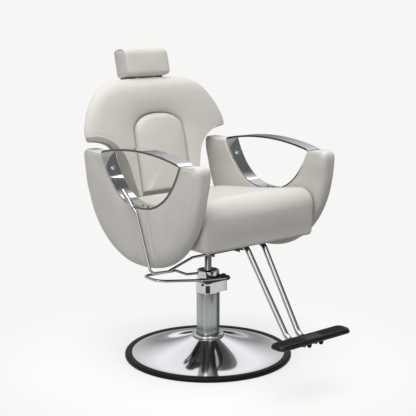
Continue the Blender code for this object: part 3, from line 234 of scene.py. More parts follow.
def add_node(tree, kind, links=(), **values):
    """Add a node, set its inputs by name or number, and join inputs to sockets."""
    node = tree.nodes.new(kind)
    for key, value in values.items():
        if hasattr(node, key):
            setattr(node, key, value)
        else:
            node.inputs[key].default_value = value
    for socket, source in links:
        tree.links.new(source, node.inputs[socket])
    return node


def new_group(name, inputs, outputs):
    """Start a node group with float inputs and float outputs."""
    group = bpy.data.node_groups.new(name, 'ShaderNodeTree')
    for label, value in inputs:
        socket = group.interface.new_socket(label, in_out='INPUT', socket_type='NodeSocketFloat')
        socket.default_value = value
    for label in outputs:
        group.interface.new_socket(label, in_out='OUTPUT', socket_type='NodeSocketFloat')
    return group, group.nodes.new('NodeGroupInput'), group.nodes.new('NodeGroupOutput')


def object_place(tree):
    """Where a point of the surface lies on its own object."""
    return tree.nodes.new('ShaderNodeTexCoord').outputs['Object']


def math_node(tree, operation, first, second):
    """A math node of two sockets or numbers; returns its output."""
    node = tree.nodes.new('ShaderNodeMath')
    node.operation = operation
    for socket, value in zip(node.inputs, (first, second)):
        if isinstance(value, (int, float)):
            socket.default_value = value
        else:
            tree.links.new(value, socket)
    return node.outputs[0]


grain, start, end = new_group("hide_grain", [("Cells", 900.0), ("Pores", 2600.0)],
                              ["Height", "Mottle", "Polish"])
where = object_place(grain)
bent = add_node(grain, 'ShaderNodeTexNoise', [("Vector", where)], Scale=160.0, Detail=2.0)
shift = add_node(grain, 'ShaderNodeVectorMath', [(0, bent.outputs['Color'])], operation='SCALE', Scale=0.0016)
moved = add_node(grain, 'ShaderNodeVectorMath', [(0, where), (1, shift.outputs[0])], operation='ADD')
cells = add_node(grain, 'ShaderNodeTexVoronoi', [("Vector", moved.outputs[0]), ("Scale", start.outputs[0])],
                 feature='DISTANCE_TO_EDGE')
pores = add_node(grain, 'ShaderNodeTexNoise', [("Vector", where), ("Scale", start.outputs[1])], Detail=2.0)
flat_cells = math_node(grain, 'MINIMUM', cells.outputs['Distance'], 0.32)
height = math_node(grain, 'ADD', math_node(grain, 'MULTIPLY', flat_cells, 2.4),
                   math_node(grain, 'MULTIPLY', pores.outputs[0], 0.35))
mottle = add_node(grain, 'ShaderNodeTexNoise', [("Vector", where)], Scale=9.0, Detail=5.0, Roughness=0.6)
polish = add_node(grain, 'ShaderNodeTexNoise', [("Vector", where)], Scale=21.0, Detail=3.0)
grain.links.new(height, end.inputs['Height'])
grain.links.new(mottle.outputs[0], end.inputs['Mottle'])
grain.links.new(polish.outputs[0], end.inputs['Polish'])

wipe, start, end = new_group("wipe_marks", [("Scale", 14.0), ("Stretch", 0.25)], ["Marks", "Fine"])
where = object_place(wipe)
squeeze = add_node(wipe, 'ShaderNodeCombineXYZ', [("Z", start.outputs[1])], X=1.0, Y=1.0)
stretched = add_node(wipe, 'ShaderNodeVectorMath', [(0, where), (1, squeeze.outputs[0])],
                     operation='MULTIPLY')
marks = add_node(wipe, 'ShaderNodeTexNoise', [("Vector", stretched.outputs[0]), ("Scale", start.outputs[0])],
                 Detail=6.0, Roughness=0.65)
fine = add_node(wipe, 'ShaderNodeTexNoise', [("Vector", stretched.outputs[0])], Scale=900.0, Detail=3.0)
wipe.links.new(marks.outputs[0], end.inputs['Marks'])
wipe.links.new(fine.outputs[0], end.inputs['Fine'])

worn, start, end = new_group("worn_edges", [("Start", 0.52), ("Full", 0.62)], ["Edge", "Speckle"])
bare = worn.nodes.new('ShaderNodeNewGeometry').outputs['Pointiness']
span = add_node(worn, 'ShaderNodeMapRange', [("Value", bare), ("From Min", start.outputs[0]),
                                             ("From Max", start.outputs[1])])
where = object_place(worn)
patchy = add_node(worn, 'ShaderNodeTexNoise', [("Vector", where)], Scale=120.0, Detail=4.0)
worn.links.new(math_node(worn, 'MULTIPLY', span.outputs[0], patchy.outputs[0]), end.inputs['Edge'])
worn.links.new(patchy.outputs[0], end.inputs['Speckle'])
print("node groups", [g.name for g in bpy.data.node_groups])

# %% [markdown]
# ## Coated leather
# The covers are a pale warm grey coated leather with a satin skin: soft highlights, a fine pebble
# that only shows close up, and a slight mottle. The grain feeds a bump, the mottle the colour
# and the polish the roughness. Piping has a finer grain and is a little lighter, a painted highlight
# along it, and thread is a twisted wave.

# %% Leather finishes


def blank_finish(name, colour, roughness, metallic=0.0):
    """A material with one Principled shader; returns the material and the shader."""
    made = bpy.data.materials.new(name)
    made.use_nodes = True
    shader = made.node_tree.nodes["Principled BSDF"]
    shader.inputs["Base Color"].default_value = (*colour, 1.0)
    shader.inputs["Roughness"].default_value = roughness
    shader.inputs["Metallic"].default_value = metallic
    made.diffuse_color = (*colour, 1.0)
    return made, shader


def group_node(tree, group, **values):
    """Place a shared effect in a finish."""
    node = tree.nodes.new('ShaderNodeGroup')
    node.node_tree = group
    for key, value in values.items():
        node.inputs[key].default_value = value
    return node


def map_range(tree, source, span, values, easing='LINEAR'):
    """Map a value from one span onto a pair of values; returns the output."""
    node = add_node(tree, 'ShaderNodeMapRange', [("Value", source)], interpolation_type=easing)
    for label, number in zip(('From Min', 'From Max', 'To Min', 'To Max'), (*span, *values)):
        node.inputs[label].default_value = number
    return node.outputs[0]


def mix_colours(tree, factor, one, two):
    """Mix two colours by a value; returns the output."""
    node = tree.nodes.new('ShaderNodeMix')
    node.data_type = 'RGBA'
    node.inputs['A'].default_value = (*one, 1.0)
    node.inputs['B'].default_value = (*two, 1.0)
    tree.links.new(factor, node.inputs['Factor'])
    return node.outputs['Result']


def spread_value(tree, source, low, high, socket):
    """Map the middle of a 0 to 1 value onto a range and join it to a socket."""
    tree.links.new(map_range(tree, source, (0.3, 0.7), (low, high)), socket)


def spread_colour(tree, source, low, high, socket):
    """Map the middle of a 0 to 1 value onto two colours and join it to a socket."""
    node = tree.nodes.new('ShaderNodeValToRGB')
    node.color_ramp.elements[0].position = 0.3
    node.color_ramp.elements[0].color = (*low, 1.0)
    node.color_ramp.elements[1].position = 0.7
    node.color_ramp.elements[1].color = (*high, 1.0)
    tree.links.new(source, node.inputs[0])
    tree.links.new(node.outputs[0], socket)


def bump(tree, height, shader, strength, distance):
    """Join a height to a shader's normal through a bump."""
    node = add_node(tree, 'ShaderNodeBump', [("Height", height)], Strength=strength, Distance=distance)
    tree.links.new(node.outputs[0], shader.inputs["Normal"])


def leather_finish(name, dark, light, rough=(0.40, 0.50), cells=900.0):
    """One of the coated leathers."""
    made, shader = blank_finish(name, light, rough[0])
    tree = made.node_tree
    hide = group_node(tree, grain, Cells=cells, Pores=cells * 2.8)
    spread_colour(tree, hide.outputs['Mottle'], dark, light, shader.inputs["Base Color"])
    spread_value(tree, hide.outputs['Polish'], *rough, shader.inputs["Roughness"])
    bump(tree, hide.outputs['Height'], shader, 0.35, 0.00025)
    shader.inputs["IOR"].default_value = 1.42
    shader.inputs["Sheen Weight"].default_value = 0.06
    shader.inputs["Sheen Roughness"].default_value = 0.5
    return made


LEATHER = leather_finish("grey_leather", (0.562, 0.541, 0.505), (0.602, 0.580, 0.543))
# A lighter copy of the leather for piping: painted highlight along the piping, with a finer grain.
PIPING_WITH_HIGHLIGHT = leather_finish("piping_leather", (0.580, 0.556, 0.514), (0.640, 0.614, 0.570), cells=1400.0)
THREAD, shader = blank_finish("sewing_thread", (0.66, 0.63, 0.58), 0.7)
tree = THREAD.node_tree
twist = add_node(tree, 'ShaderNodeTexWave', [("Vector", object_place(tree))], Scale=700.0, Distortion=3.0)
spread_colour(tree, twist.outputs['Fac'], (0.56, 0.53, 0.48), (0.70, 0.67, 0.62), shader.inputs["Base Color"])
print("leathers", LEATHER.name, PIPING_WITH_HIGHLIGHT.name, THREAD.name)

# %% [markdown]
# ## Metals, rubber and wood
# Chrome is a near mirror with the faintest wipe marks; the pump tube is ground along its length,
# so its marks stretch upwards, and their strong dark streaks are also painted reflection; hidden
# frame parts wear black paint that thins on edges. Rubber is matt and slightly pitted, and the board
# under the seat shows its plies.

# %% Hard finishes


def metal_finish(name, colour, rough, scale=14.0, stretch=0.25, fine=0.0, shade=0.93):
    """Polished or ground metal with wipe marks."""
    made, shader = blank_finish(name, colour, rough[0], 1.0)
    tree = made.node_tree
    marks = group_node(tree, wipe, Scale=scale, Stretch=stretch)
    spread_value(tree, marks.outputs['Marks'], *rough, shader.inputs["Roughness"])
    darker = tuple(shade * c for c in colour)
    spread_colour(tree, marks.outputs['Marks'], darker, colour, shader.inputs["Base Color"])
    if fine > 0.0:
        bump(tree, marks.outputs['Fine'], shader, fine, 0.0002)
    return made


def coated_finish(name, colour, bare, rough, pits=0.0, scale=420.0, gloss=0.5):
    """Painted steel, rubber or plastic: worn on the edges, faintly pitted."""
    made, shader = blank_finish(name, colour, rough[0])
    tree = made.node_tree
    edges = group_node(tree, worn)
    tree.links.new(mix_colours(tree, edges.outputs['Edge'], colour, bare), shader.inputs["Base Color"])
    spread_value(tree, edges.outputs['Speckle'], *rough, shader.inputs["Roughness"])
    shader.inputs["Specular IOR Level"].default_value = gloss
    if pits > 0.0:
        where = object_place(tree)
        skin = add_node(tree, 'ShaderNodeTexNoise', [("Vector", where)], Scale=scale, Detail=3.0)
        bump(tree, skin.outputs[0], shader, pits, 0.0004)
    return made


CHROME = metal_finish("mirror_chrome", (0.60, 0.605, 0.62), (0.035, 0.085))
# A darker copy of the chrome for rods and tubes: painted shade that dims their reflections.
SHADED_ROD_CHROME = metal_finish("rod_chrome_painted_shade", (0.40, 0.405, 0.42), (0.05, 0.11), scale=30.0)
# Near-black metal for the straps' side faces: a painted dark reflection that outlines them.
EDGE_DARK_REFLECTION = metal_finish("strap_edge_painted_reflection", (0.10, 0.102, 0.106), (0.12, 0.20), scale=40.0)
# A brighter, lilac-tinted copy of the chrome for the dome: painted light in its reflection.
LIT_DOME_CHROME = metal_finish("dome_chrome_painted_light", (0.87, 0.872, 0.895), (0.05, 0.11), scale=6.0, stretch=1.0)
# The tube's dark streaks are partly grinding marks and partly painted reflection stripes.
GROUND_STEEL_AND_REFLECTION = metal_finish("ground_steel_painted_reflection", (0.46, 0.48, 0.49), (0.16, 0.26), 150.0, 0.006, 0.05, shade=0.55)
ROD_STEEL = metal_finish("rod_steel", (0.36, 0.36, 0.36), (0.14, 0.22), scale=60.0, stretch=0.1)
# Black paint for frame parts; on the lever rod under the seat the same black is painted shade.
BLACK_PAINT_AND_SHADE = coated_finish("black_paint_and_painted_shade", (0.016, 0.016, 0.018), (0.09, 0.09, 0.09), (0.32, 0.45), 0.15)
RUBBER = coated_finish("black_rubber", (0.004, 0.004, 0.0045), (0.016, 0.016, 0.018), (0.40, 0.52),
                       0.3, 700.0, 0.14)
TREAD = coated_finish("tread_rubber", (0.006, 0.006, 0.0068), (0.026, 0.026, 0.028), (0.32, 0.45),
                      0.3, 900.0, 0.28)
# Black plastic for small fittings; the same black is painted shade in the pump head's recesses and under the
# headrest.
BLACK_PLASTIC_AND_SHADE = coated_finish("black_plastic_and_painted_shade", (0.010, 0.010, 0.011), (0.04, 0.04, 0.04), (0.30, 0.42), 0.1)
BRONZE = metal_finish("sintered_bronze", (0.48, 0.31, 0.14), (0.35, 0.5), scale=300.0, stretch=1.0, fine=0.1)

PLY, shader = blank_finish("stained_ply", (0.06, 0.045, 0.03), 0.6)
tree = PLY.node_tree
where = object_place(tree)
drawn_out = add_node(tree, 'ShaderNodeVectorMath', [(0, where)], operation='MULTIPLY')
drawn_out.inputs[1].default_value = (1.0, 0.08, 6.0)
fibre = add_node(tree, 'ShaderNodeTexNoise', [("Vector", drawn_out.outputs[0])], Scale=120.0, Detail=6.0)
spread_colour(tree, fibre.outputs[0], (0.030, 0.024, 0.018), (0.080, 0.060, 0.042),
              shader.inputs["Base Color"])
bump(tree, fibre.outputs[0], shader, 0.2, 0.0003)
print("finishes", len(bpy.data.materials))

# %% [markdown]
# ## Base
# A spun chrome dome sits on a steel plate inside a thick rubber rim, and a trim collar hides where
# the pump goes through. All are turned, so each is a profile spun round the upright axis, with
# more points where the edge rolls.

# %% Base
BASE_RADIUS = 0.298
RIM_INNER = 0.273
RIM_HEIGHT = 0.017
DOME_RADIUS = RIM_INNER - GAP
DOME_EDGE = 0.014
DOME_TOP = 0.071
DOME_FLARE = 1.55
DOME_SHOULDER = 0.054
TUBE_HOLE = 0.042

outer = []
for i in range(41):
    share = i / 40
    radius = DOME_SHOULDER + (DOME_RADIUS - DOME_SHOULDER) * share
    outer.append((radius, DOME_EDGE + (DOME_TOP - DOME_EDGE) * (1 - share) ** DOME_FLARE))
inner = [(radius - 0.0012, height - 0.002) for radius, height in outer]
edge = [(DOME_RADIUS, DOME_EDGE - 0.003), (DOME_RADIUS, 0.0065), (DOME_RADIUS - 0.0012, 0.0065)]
profile = [(TUBE_HOLE, DOME_TOP)] + outer + edge + inner[::-1] + [(TUBE_HOLE, DOME_TOP - 0.002)]
fit(lathe("chrome_dome", profile, 160, closed=True), "base", "chrome", LIT_DOME_CHROME, "base_dome")
rim = rounded([(RIM_INNER, 0.0), (RIM_INNER, 0.0155), (RIM_INNER + 0.006, RIM_HEIGHT),
               (BASE_RADIUS - 0.006, RIM_HEIGHT), (BASE_RADIUS, 0.011), (BASE_RADIUS, 0.003),
               (BASE_RADIUS - 0.002, 0.0)], 0.004)
fit(lathe("rubber_rim", rim, 160, closed=True), "base", "rubber", RUBBER, "base_rim")
collar_foot = DOME_TOP + GAP
collar = rounded([(TUBE_HOLE, collar_foot), (0.058, collar_foot), (0.058, collar_foot + 0.006),
                  (0.0545, collar_foot + 0.011), (TUBE_HOLE, collar_foot + 0.011)], 0.0022)
fit(lathe("trim_collar", collar, 96, closed=True), "base", "chrome", CHROME, "pump_collar")

# %% [markdown]
# ## Pump
# The pump is a ground steel tube with a cast and chromed head. A block on the side of the head
# carries two lugs for the pedal shaft. The head is built as the caster would think of it: a turned
# body, a block and lugs joined to it, the shaft bore and a drain slot cut out, edges broken last.
# Its ledge is black, and the faces inside its cup and its slot are black as painted shade.

# %% Pump
TUBE_FOOT = 0.0146
TUBE_BORE = 0.038
TUBE_RADIUS = 0.0415
HEAD_BOTTOM = 0.234
HEAD_LEDGE = 0.275
HEAD_TOP = 0.313
PIVOT_X = 0.047
PIVOT_Z = 0.286
BLOCK_FACE = 0.053
SLOT_TURN = math.radians(-131.0)


def joined(piece, tool, operation):
    """Join a tool to a piece, or cut it away, for good."""
    step = piece.modifiers.new("join", 'BOOLEAN')
    step.operation = operation
    step.solver = 'EXACT'
    step.object = tool
    bpy.context.view_layer.update()
    shaped = piece.evaluated_get(bpy.context.evaluated_depsgraph_get())
    piece.data = bpy.data.meshes.new_from_object(shaped)
    piece.modifiers.clear()
    bpy.data.objects.remove(tool, do_unlink=True)


def block(name, low, high, radius=0.003, turn=0.0):
    """A box with rounded upright edges, turned about Z."""
    plan = rounded([(low[0], low[1]), (high[0], low[1]), (high[0], high[1]), (low[0], high[1])], radius)
    spin = Matrix.Rotation(turn, 3, 'Z')
    rings = [[spin @ Vector((x, y, z)) for x, y in plan] for z in (low[2], high[2])]
    return skin_piece(name, *ring_skin(rings))


def broken_edges(piece, width, segments=2, angle=35.0):
    """Bevel the sharp edges of a piece."""
    step = piece.modifiers.new("edges", 'BEVEL')
    step.width = width
    step.segments = segments
    step.limit_method = 'ANGLE'
    step.angle_limit = math.radians(angle)
    step.harden_normals = True
    return piece


tube_profile = rounded([(TUBE_BORE, TUBE_FOOT), (TUBE_RADIUS, TUBE_FOOT), (TUBE_RADIUS, HEAD_BOTTOM - GAP),
                        (TUBE_BORE, HEAD_BOTTOM - GAP)], 0.0008, 2)
fit(lathe("ground_tube", tube_profile, 96, closed=True), "base", "brushed", GROUND_STEEL_AND_REFLECTION, "pump_tube")
head = lathe("pump_casting", [(0.0343, HEAD_TOP), (0.0392, HEAD_TOP), (0.040, HEAD_TOP - 0.0008),
                              (0.040, HEAD_TOP - 0.012), (0.0396, HEAD_TOP - 0.0124),
                              (0.0396, HEAD_TOP - 0.0134), (0.040, HEAD_TOP - 0.0138),
                              (0.040, HEAD_LEDGE), (0.0427, HEAD_LEDGE), (0.0435, HEAD_LEDGE - 0.0008),
                              (0.0435, HEAD_BOTTOM + 0.0008), (0.0427, HEAD_BOTTOM),
                              (0.0173, HEAD_BOTTOM), (0.0173, HEAD_TOP - 0.004),
                              (0.0343, HEAD_TOP - 0.004)], 96, closed=True)
block_low = (-0.003, -0.0438, HEAD_BOTTOM + 0.003)
joined(head, block("pivot_block", block_low, (BLOCK_FACE, 0.0438, HEAD_LEDGE + 0.0002)), 'UNION')
for y in (-0.030, 0.030):
    lug_low = (0.041, y - 0.006, HEAD_LEDGE - 0.004)
    joined(head, block("lug", lug_low, (BLOCK_FACE, y + 0.006, PIVOT_Z + 0.010), 0.0015), 'UNION')
bore = tube("bore", [(PIVOT_X, -0.10, PIVOT_Z), (PIVOT_X, 0.10, PIVOT_Z)], 0.0053, 24)
joined(head, bore, 'DIFFERENCE')
joined(head, block("slot", (0.0355, -0.008, HEAD_BOTTOM + 0.0025), (0.09, 0.008, HEAD_BOTTOM + 0.0300),
                   0.002, SLOT_TURN), 'DIFFERENCE')
head.data.shade_smooth()
head.data.set_sharp_from_angle(angle=math.radians(35.0))
fit(broken_edges(head, 0.0007), "base", "chrome", CHROME, "pump_head")
# The ledge's faces are black; the faces in the cup and the slot are black as painted shade in these recesses.
head.data.materials.append(BLACK_PLASTIC_AND_SHADE)
for face in head.data.polygons:
    out = face.center.xy.length
    on_ledge = face.center.z > HEAD_LEDGE - 0.0005 and out > 0.0402
    in_cup = face.normal.z > 0.9 and face.center.z > HEAD_TOP - 0.005 and out < 0.036
    in_slot = HEAD_BOTTOM + 0.001 < face.center.z < HEAD_BOTTOM + 0.0304 and 0.030 < out < 0.0425
    if on_ledge or in_cup or in_slot:
        face.material_index = 1
print("pump head faces", len(head.data.polygons))

# %% [markdown]
# ## Pedal, shaft, piston and the head's small fittings
# The pedal is one rod bent into a long loop whose ends are held by bosses on a cross shaft. A thin
# black cam plate stands beside its front leg. The piston rod carries the seat, so it rides on its
# own body. The bolt end beside the slot is a turned stud.

# %% Pedal and piston
PEDAL_HALF = 0.052
PEDAL_REACH = 0.264
PEDAL_END_Z = 0.326


def placed(piece, way, foot):
    """Turn a piece made along +Z to point along a way, then set it on a foot."""
    turn = Vector((0, 0, 1)).rotation_difference(Vector(way)).to_matrix().to_4x4()
    piece.data.transform(Matrix.Translation(foot) @ turn)
    return piece


leg = PIVOT_X - 0.0093
route = fillet([(leg, -PEDAL_HALF, PIVOT_Z), (-0.056, -PEDAL_HALF, PIVOT_Z + 0.008),
                (-PEDAL_REACH, -PEDAL_HALF, PEDAL_END_Z),
                (-PEDAL_REACH * 0.93, PEDAL_HALF, PEDAL_END_Z - 0.006),
                (-0.105, PEDAL_HALF, PEDAL_END_Z - 0.010), (-0.056, PEDAL_HALF, PIVOT_Z + 0.008),
                (leg, PEDAL_HALF, PIVOT_Z)], 0.030, 14)
fit(tube("pedal_rod", route, 0.0048, 20), "pedal", "chrome", SHADED_ROD_CHROME, "pump_pedal")
cam_side = rounded([(0.050, 0.279), (0.053, 0.286), (0.050, 0.2935), (0.040, 0.2955), (-0.020, 0.2945),
                    (-0.060, 0.300), (-0.078, 0.3030), (-0.078, 0.2975), (-0.063, 0.2906), (-0.0562, 0.2811),
                    (-0.0458, 0.2744), (-0.0231, 0.2739), (-0.0161, 0.2785), (0.030, 0.2788)], 0.003, 3)
cam_faces = [[(x, y, z) for x, z in cam_side] for y in (-0.0473, -0.0449)]
cam = skin_piece("pedal_cam", *ring_skin(cam_faces), sharp=30.0)
fit(broken_edges(cam, 0.0005), "pedal", "black_steel", BLACK_PLASTIC_AND_SHADE)
half = [(0.0, 0.0580), (0.0055, 0.0580), (0.0078, 0.0570), (0.0090, 0.0548), (0.0090, 0.0462),
        (0.0085, 0.0460), (0.0048, 0.0460)]
shaft = lathe("cross_shaft", half + [(r, -z) for r, z in half[::-1]], 40)
fit(placed(shaft, (0, -1, 0), (PIVOT_X, 0, PIVOT_Z)), "pedal", "black_steel", BLACK_PAINT_AND_SHADE, "pedal_shaft")
rod = [(0.0, 0.412), (0.0108, 0.412), (0.0125, 0.4095), (0.0125, 0.103), (0.0368, 0.103), (0.0370, 0.1028),
       (0.0370, 0.0852), (0.0368, 0.085), (0.0, 0.085)]
fit(lathe("piston", rod, 64), "piston", "brushed", ROD_STEEL, "piston_rod")
stud_turn = math.radians(-155.0)
stud_way = Vector((math.cos(stud_turn), math.sin(stud_turn), 0.0))
stud = lathe("valve_stud", [(0.0, 0.0), (0.0046, 0.0), (0.0046, 0.0045), (0.0038, 0.0062), (0.0020, 0.0064),
                            (0.0016, 0.0050), (0.0, 0.0050)], 24)
fit(placed(stud, stud_way, stud_way * 0.0425 + Vector((0, 0, 0.267))), "base", "black_steel", BLACK_PLASTIC_AND_SHADE)
print("pedal reach", round(min(p.x for p in route), 3))

# %% [markdown]
# ## Footrest
# Two bent chrome tubes carry a moulded rubber tread. The tread is a long bar with rounded ends,
# a raised border and ribs on either side of a plain patch; ribs are modelled, since feet polish
# them and the light catches each one.

# %% Footrest
PAD_TOP = 0.197
PAD_THICK = 0.016
PAD_HALF = 0.159
PAD_REAR = -0.484
PAD_FRONT = -0.545
REST_TUBE = 0.0095
REST_TOP_HALF = 0.038
REST_FOOT_HALF = 0.0265
REST_TOP_Z = 0.460 - REST_TUBE - 0.0005 - 0.0028
REST_FOOT_Z = PAD_TOP - PAD_THICK - GAP - REST_TUBE
CHROME_END = -0.486

for side, word in SIDES:
    high_x = side * REST_TOP_HALF
    low_x = side * REST_FOOT_HALF
    route = fillet([(high_x, -0.1273, REST_TOP_Z), (high_x, -0.242, REST_TOP_Z), (low_x, -0.434, REST_FOOT_Z),
                    (low_x, -0.487, REST_FOOT_Z), (low_x, -0.512, REST_FOOT_Z)], 0.040, 14)
    made = tube("rest_tube_" + word, route, REST_TUBE, 28, 0.08)
    fit(made, "seat", "chrome", SHADED_ROD_CHROME, "footrest_tube_" + word)
    made.data.materials.append(BLACK_PLASTIC_AND_SHADE)
    for face in made.data.polygons:
        face.material_index = 1 if face.center.y < CHROME_END else 0
    cap = lathe("rest_cap_" + word, [(0.0, 0.0), (0.0080, 0.0), (0.0080, 0.0075), (0.0068, 0.0080),
                                     (0.0066, 0.0108), (0.0052, 0.0128), (0.0, 0.0132)], 32)
    placed(cap, (0, 0, -1), (low_x, -0.532, PAD_TOP - PAD_THICK - GAP))
    fit(cap, "seat", "rubber", RUBBER, "footrest_cap_" + word)
plan = rounded([(-PAD_HALF, PAD_FRONT), (PAD_HALF, PAD_FRONT), (PAD_HALF, PAD_REAR), (-PAD_HALF, PAD_REAR)],
               0.022, 10)
middle = (PAD_FRONT + PAD_REAR) / 2


def pad_ring(draw, z):
    """The tread's plan, drawn in on all sides, at one height."""
    wide = (PAD_HALF - draw) / PAD_HALF
    deep = (PAD_REAR - middle - draw) / (PAD_REAR - middle)
    return [(x * wide, middle + (y - middle) * deep, z) for x, y in plan]


rings = [pad_ring(draw, PAD_TOP + drop) for draw, drop in (
    (0.006, -0.0160), (0.0022, -0.0158), (0.0006, -0.0145), (0.0, -0.0120), (0.0008, -0.0075),
    (0.0022, -0.0040), (0.0042, -0.0014), (0.0062, -0.0003), (0.0080, 0.0), (0.0092, -0.0004),
    (0.0104, -0.0016), (0.0125, -0.0018))]
points, faces = ring_skin(rings)


def add_bar(points, faces, low, high, y, z, radius):
    """Add one half-round rib along X to a skin."""
    turns = [math.pi * k / 8 for k in range(9)]
    rings = []
    for x, size in ((low, 0.3), (low + 0.002, 0.9), (low + 0.004, 1.0),
                    (high - 0.004, 1.0), (high - 0.002, 0.9), (high, 0.3)):
        ring = [(x, y + radius * math.cos(t), z + radius * size * math.sin(t)) for t in turns]
        rings.append(ring + [(x, y, z - 0.001)])
    add_skin(points, faces, rings)


for k in range(-3, 4):
    for low, high in ((-0.145, -0.036), (0.036, 0.145)):
        add_bar(points, faces, low, high, middle + 0.0062 * k, PAD_TOP - 0.0018, 0.0017)
for y in (-0.019, 0.019):
    add_bar(points, faces, -0.030, 0.030, middle + y, PAD_TOP - 0.0018, 0.0012)
fit(skin_piece("foot_tread", points, faces), "seat", "rubber", TREAD, "footrest_pad")
print("tread faces", len(faces))

# %% [markdown]
# ## Recline lever
# A chromed rod runs under the seat, out below the right arm and up beside it to a round grip. It
# rides on the lever's own body, so it lifts when pulled.

# %% Recline lever
ARM_INNER = 0.254
ARM_OUTER = 0.314
ARM_TOP = 0.737
ARM_BOTTOM = 0.377
LOOP_CENTRE = -0.017
LOOP_HALF = 0.211
LOOP_DEPTH = 0.157
LOOP_RISE = 0.0235
LEVER_X = -(ARM_OUTER + 0.012)
LEVER_Y = -0.1125
LEVER_Z = 0.404

knee = Vector((LEVER_X, LOOP_CENTRE - 0.005, ARM_TOP - LOOP_DEPTH - 0.017))
grip_foot = knee + Vector((0.0, 0.016, 0.014))
grip_way = Vector((0.0, 0.059, 0.052)).normalized()
route = fillet([grip_foot + grip_way * 0.012, knee, (LEVER_X, -0.098, ARM_BOTTOM - 0.005),
                (-ARM_INNER - 0.012, LEVER_Y, ARM_BOTTOM - 0.005), (-0.162, LEVER_Y, LEVER_Z),
                (-0.086, LEVER_Y, LEVER_Z), (-0.084, LEVER_Y, LEVER_Z), (0.075, LEVER_Y, LEVER_Z)], 0.018, 12)
lever_rod = fit(tube("lever_rod", route, 0.0045, 20), "lever", "chrome", SHADED_ROD_CHROME, "recline_lever")
# Under the seat the rod's faces are black: painted shade, so that it sinks into the seat's shade.
lever_rod.data.materials.append(BLACK_PAINT_AND_SHADE)
for face in lever_rod.data.polygons:
    face.material_index = 1 if face.center.x > -0.085 else 0
grip = [(0.0, 0.080), (0.0045, 0.080), (0.0074, 0.0792), (0.0083, 0.0775), (0.0085, 0.075), (0.0085, 0.008),
        (0.0080, 0.0072), (0.0080, 0.0062), (0.0085, 0.0054), (0.0082, 0.002), (0.0068, 0.0), (0.0048, 0.0),
        (0.0048, 0.013), (0.0, 0.013)]
fit(placed(lathe("grip_sleeve", grip, 40), grip_way, grip_foot), "lever", "chrome", SHADED_ROD_CHROME, "lever_grip")
print("lever grip at", tuple(round(v, 3) for v in grip_foot))

# %% [markdown]
# ## Flat outlines
# Covers are cut from flat patterns, so the padded pieces start as outlines too. These helpers
# draw, sample and offset a line, and measure how far points lie from it. That distance gives each
# cover the roll of its edges.

# %% Outline helpers


def bezier(p0, p1, p2, p3, count):
    """Points along a cubic curve."""
    t = np.linspace(0.0, 1.0, count)[:, None]
    p0, p1, p2, p3 = (np.array(p, float) for p in (p0, p1, p2, p3))
    return (1 - t) ** 3 * p0 + 3 * (1 - t) ** 2 * t * p1 + 3 * (1 - t) * t * t * p2 + t ** 3 * p3


def smooth_line(points, steps=12):
    """A smooth line through given points."""
    spots = np.asarray(points, float)
    spots = np.concatenate([[2 * spots[0] - spots[1]], spots, [2 * spots[-1] - spots[-2]]])
    made = []
    for a, b, c, d in zip(spots, spots[1:], spots[2:], spots[3:]):
        for t in np.arange(steps) / steps:
            made.append(b + 0.5 * t * (c - a + t * (2 * a - 5 * b + 4 * c - d + t * (3 * b - a - 3 * c + d))))
    return np.array(made + [spots[-2]])


def along(line, shares):
    """Points at given shares of a line's length."""
    line = np.asarray(line, float)
    steps = np.linalg.norm(np.diff(line, axis=0), axis=1)
    length = np.concatenate([[0.0], np.cumsum(steps)])
    spots = np.asarray(shares) * length[-1]
    return np.stack([np.interp(spots, length, line[:, k]) for k in range(line.shape[1])], axis=1)


def line_length(line):
    """Length of a line of points."""
    return float(np.linalg.norm(np.diff(np.asarray(line, float), axis=0), axis=1).sum())


def beside(line, amount):
    """A line moved sideways, to the left of its direction."""
    way = np.gradient(np.asarray(line, float), axis=0)
    way /= np.linalg.norm(way, axis=1)[:, None]
    return np.asarray(line) + amount * np.stack([-way[:, 1], way[:, 0]], axis=1)


def away_from(points, line):
    """Distance of points from a line of points, both flat or both solid."""
    best = np.full(len(points), 1e9)
    for a, b in zip(line[:-1], line[1:]):
        side = b - a
        share = np.clip(((points - a) @ side) / max(side @ side, 1e-12), 0.0, 1.0)
        best = np.minimum(best, np.linalg.norm(points - a - share[:, None] * side, axis=1))
    return best


def roll(distance, reach, depth):
    """How far an edge that rolls over has dropped, at a distance inside it."""
    share = np.clip(1.0 - np.asarray(distance) / reach, 0.0, 1.0)
    return depth * (1.0 - np.sqrt(1.0 - share ** 2))


def soft_max(*drops):
    """Join rolls that meet at a corner."""
    return sum(np.asarray(d) ** 3 for d in drops) ** (1.0 / 3.0)


def ramp(value, zero, one):
    """0 up to one value, 1 from another on, and straight between."""
    return np.clip((value - zero) / (one - zero), 0.0, 1.0)


def both_halves(half):
    """A whole outline from a half that ends in the middle."""
    return np.concatenate([half, half[-2::-1] * (-1, 1)])


def edge_shares(length, first, last, count, steps=7):
    """Shares of a length that crowd where the edges roll."""
    turn = 1.0 - np.cos(np.linspace(0.0, math.pi / 2, steps))
    low = first / length * turn
    high = 1.0 - last / length * turn[::-1]
    return np.concatenate([low, np.linspace(low[-1], high[0], count)[1:-1], high])


print("outline helpers ready")

# %% [markdown]
# ## Padded covers
# The covers of the arms and the back are two faces sewn to a band: both faces are grids with the
# same number of points, and the band joins their borders. The other covers are skins over rings.

# %% Cover skin


def border(rows, columns):
    """Indices round a grid of points, in order."""
    ring = [(0, j) for j in range(columns)] + [(i, columns - 1) for i in range(1, rows)]
    ring += [(rows - 1, j) for j in range(columns - 2, -1, -1)] + [(i, 0) for i in range(rows - 2, 0, -1)]
    return ring


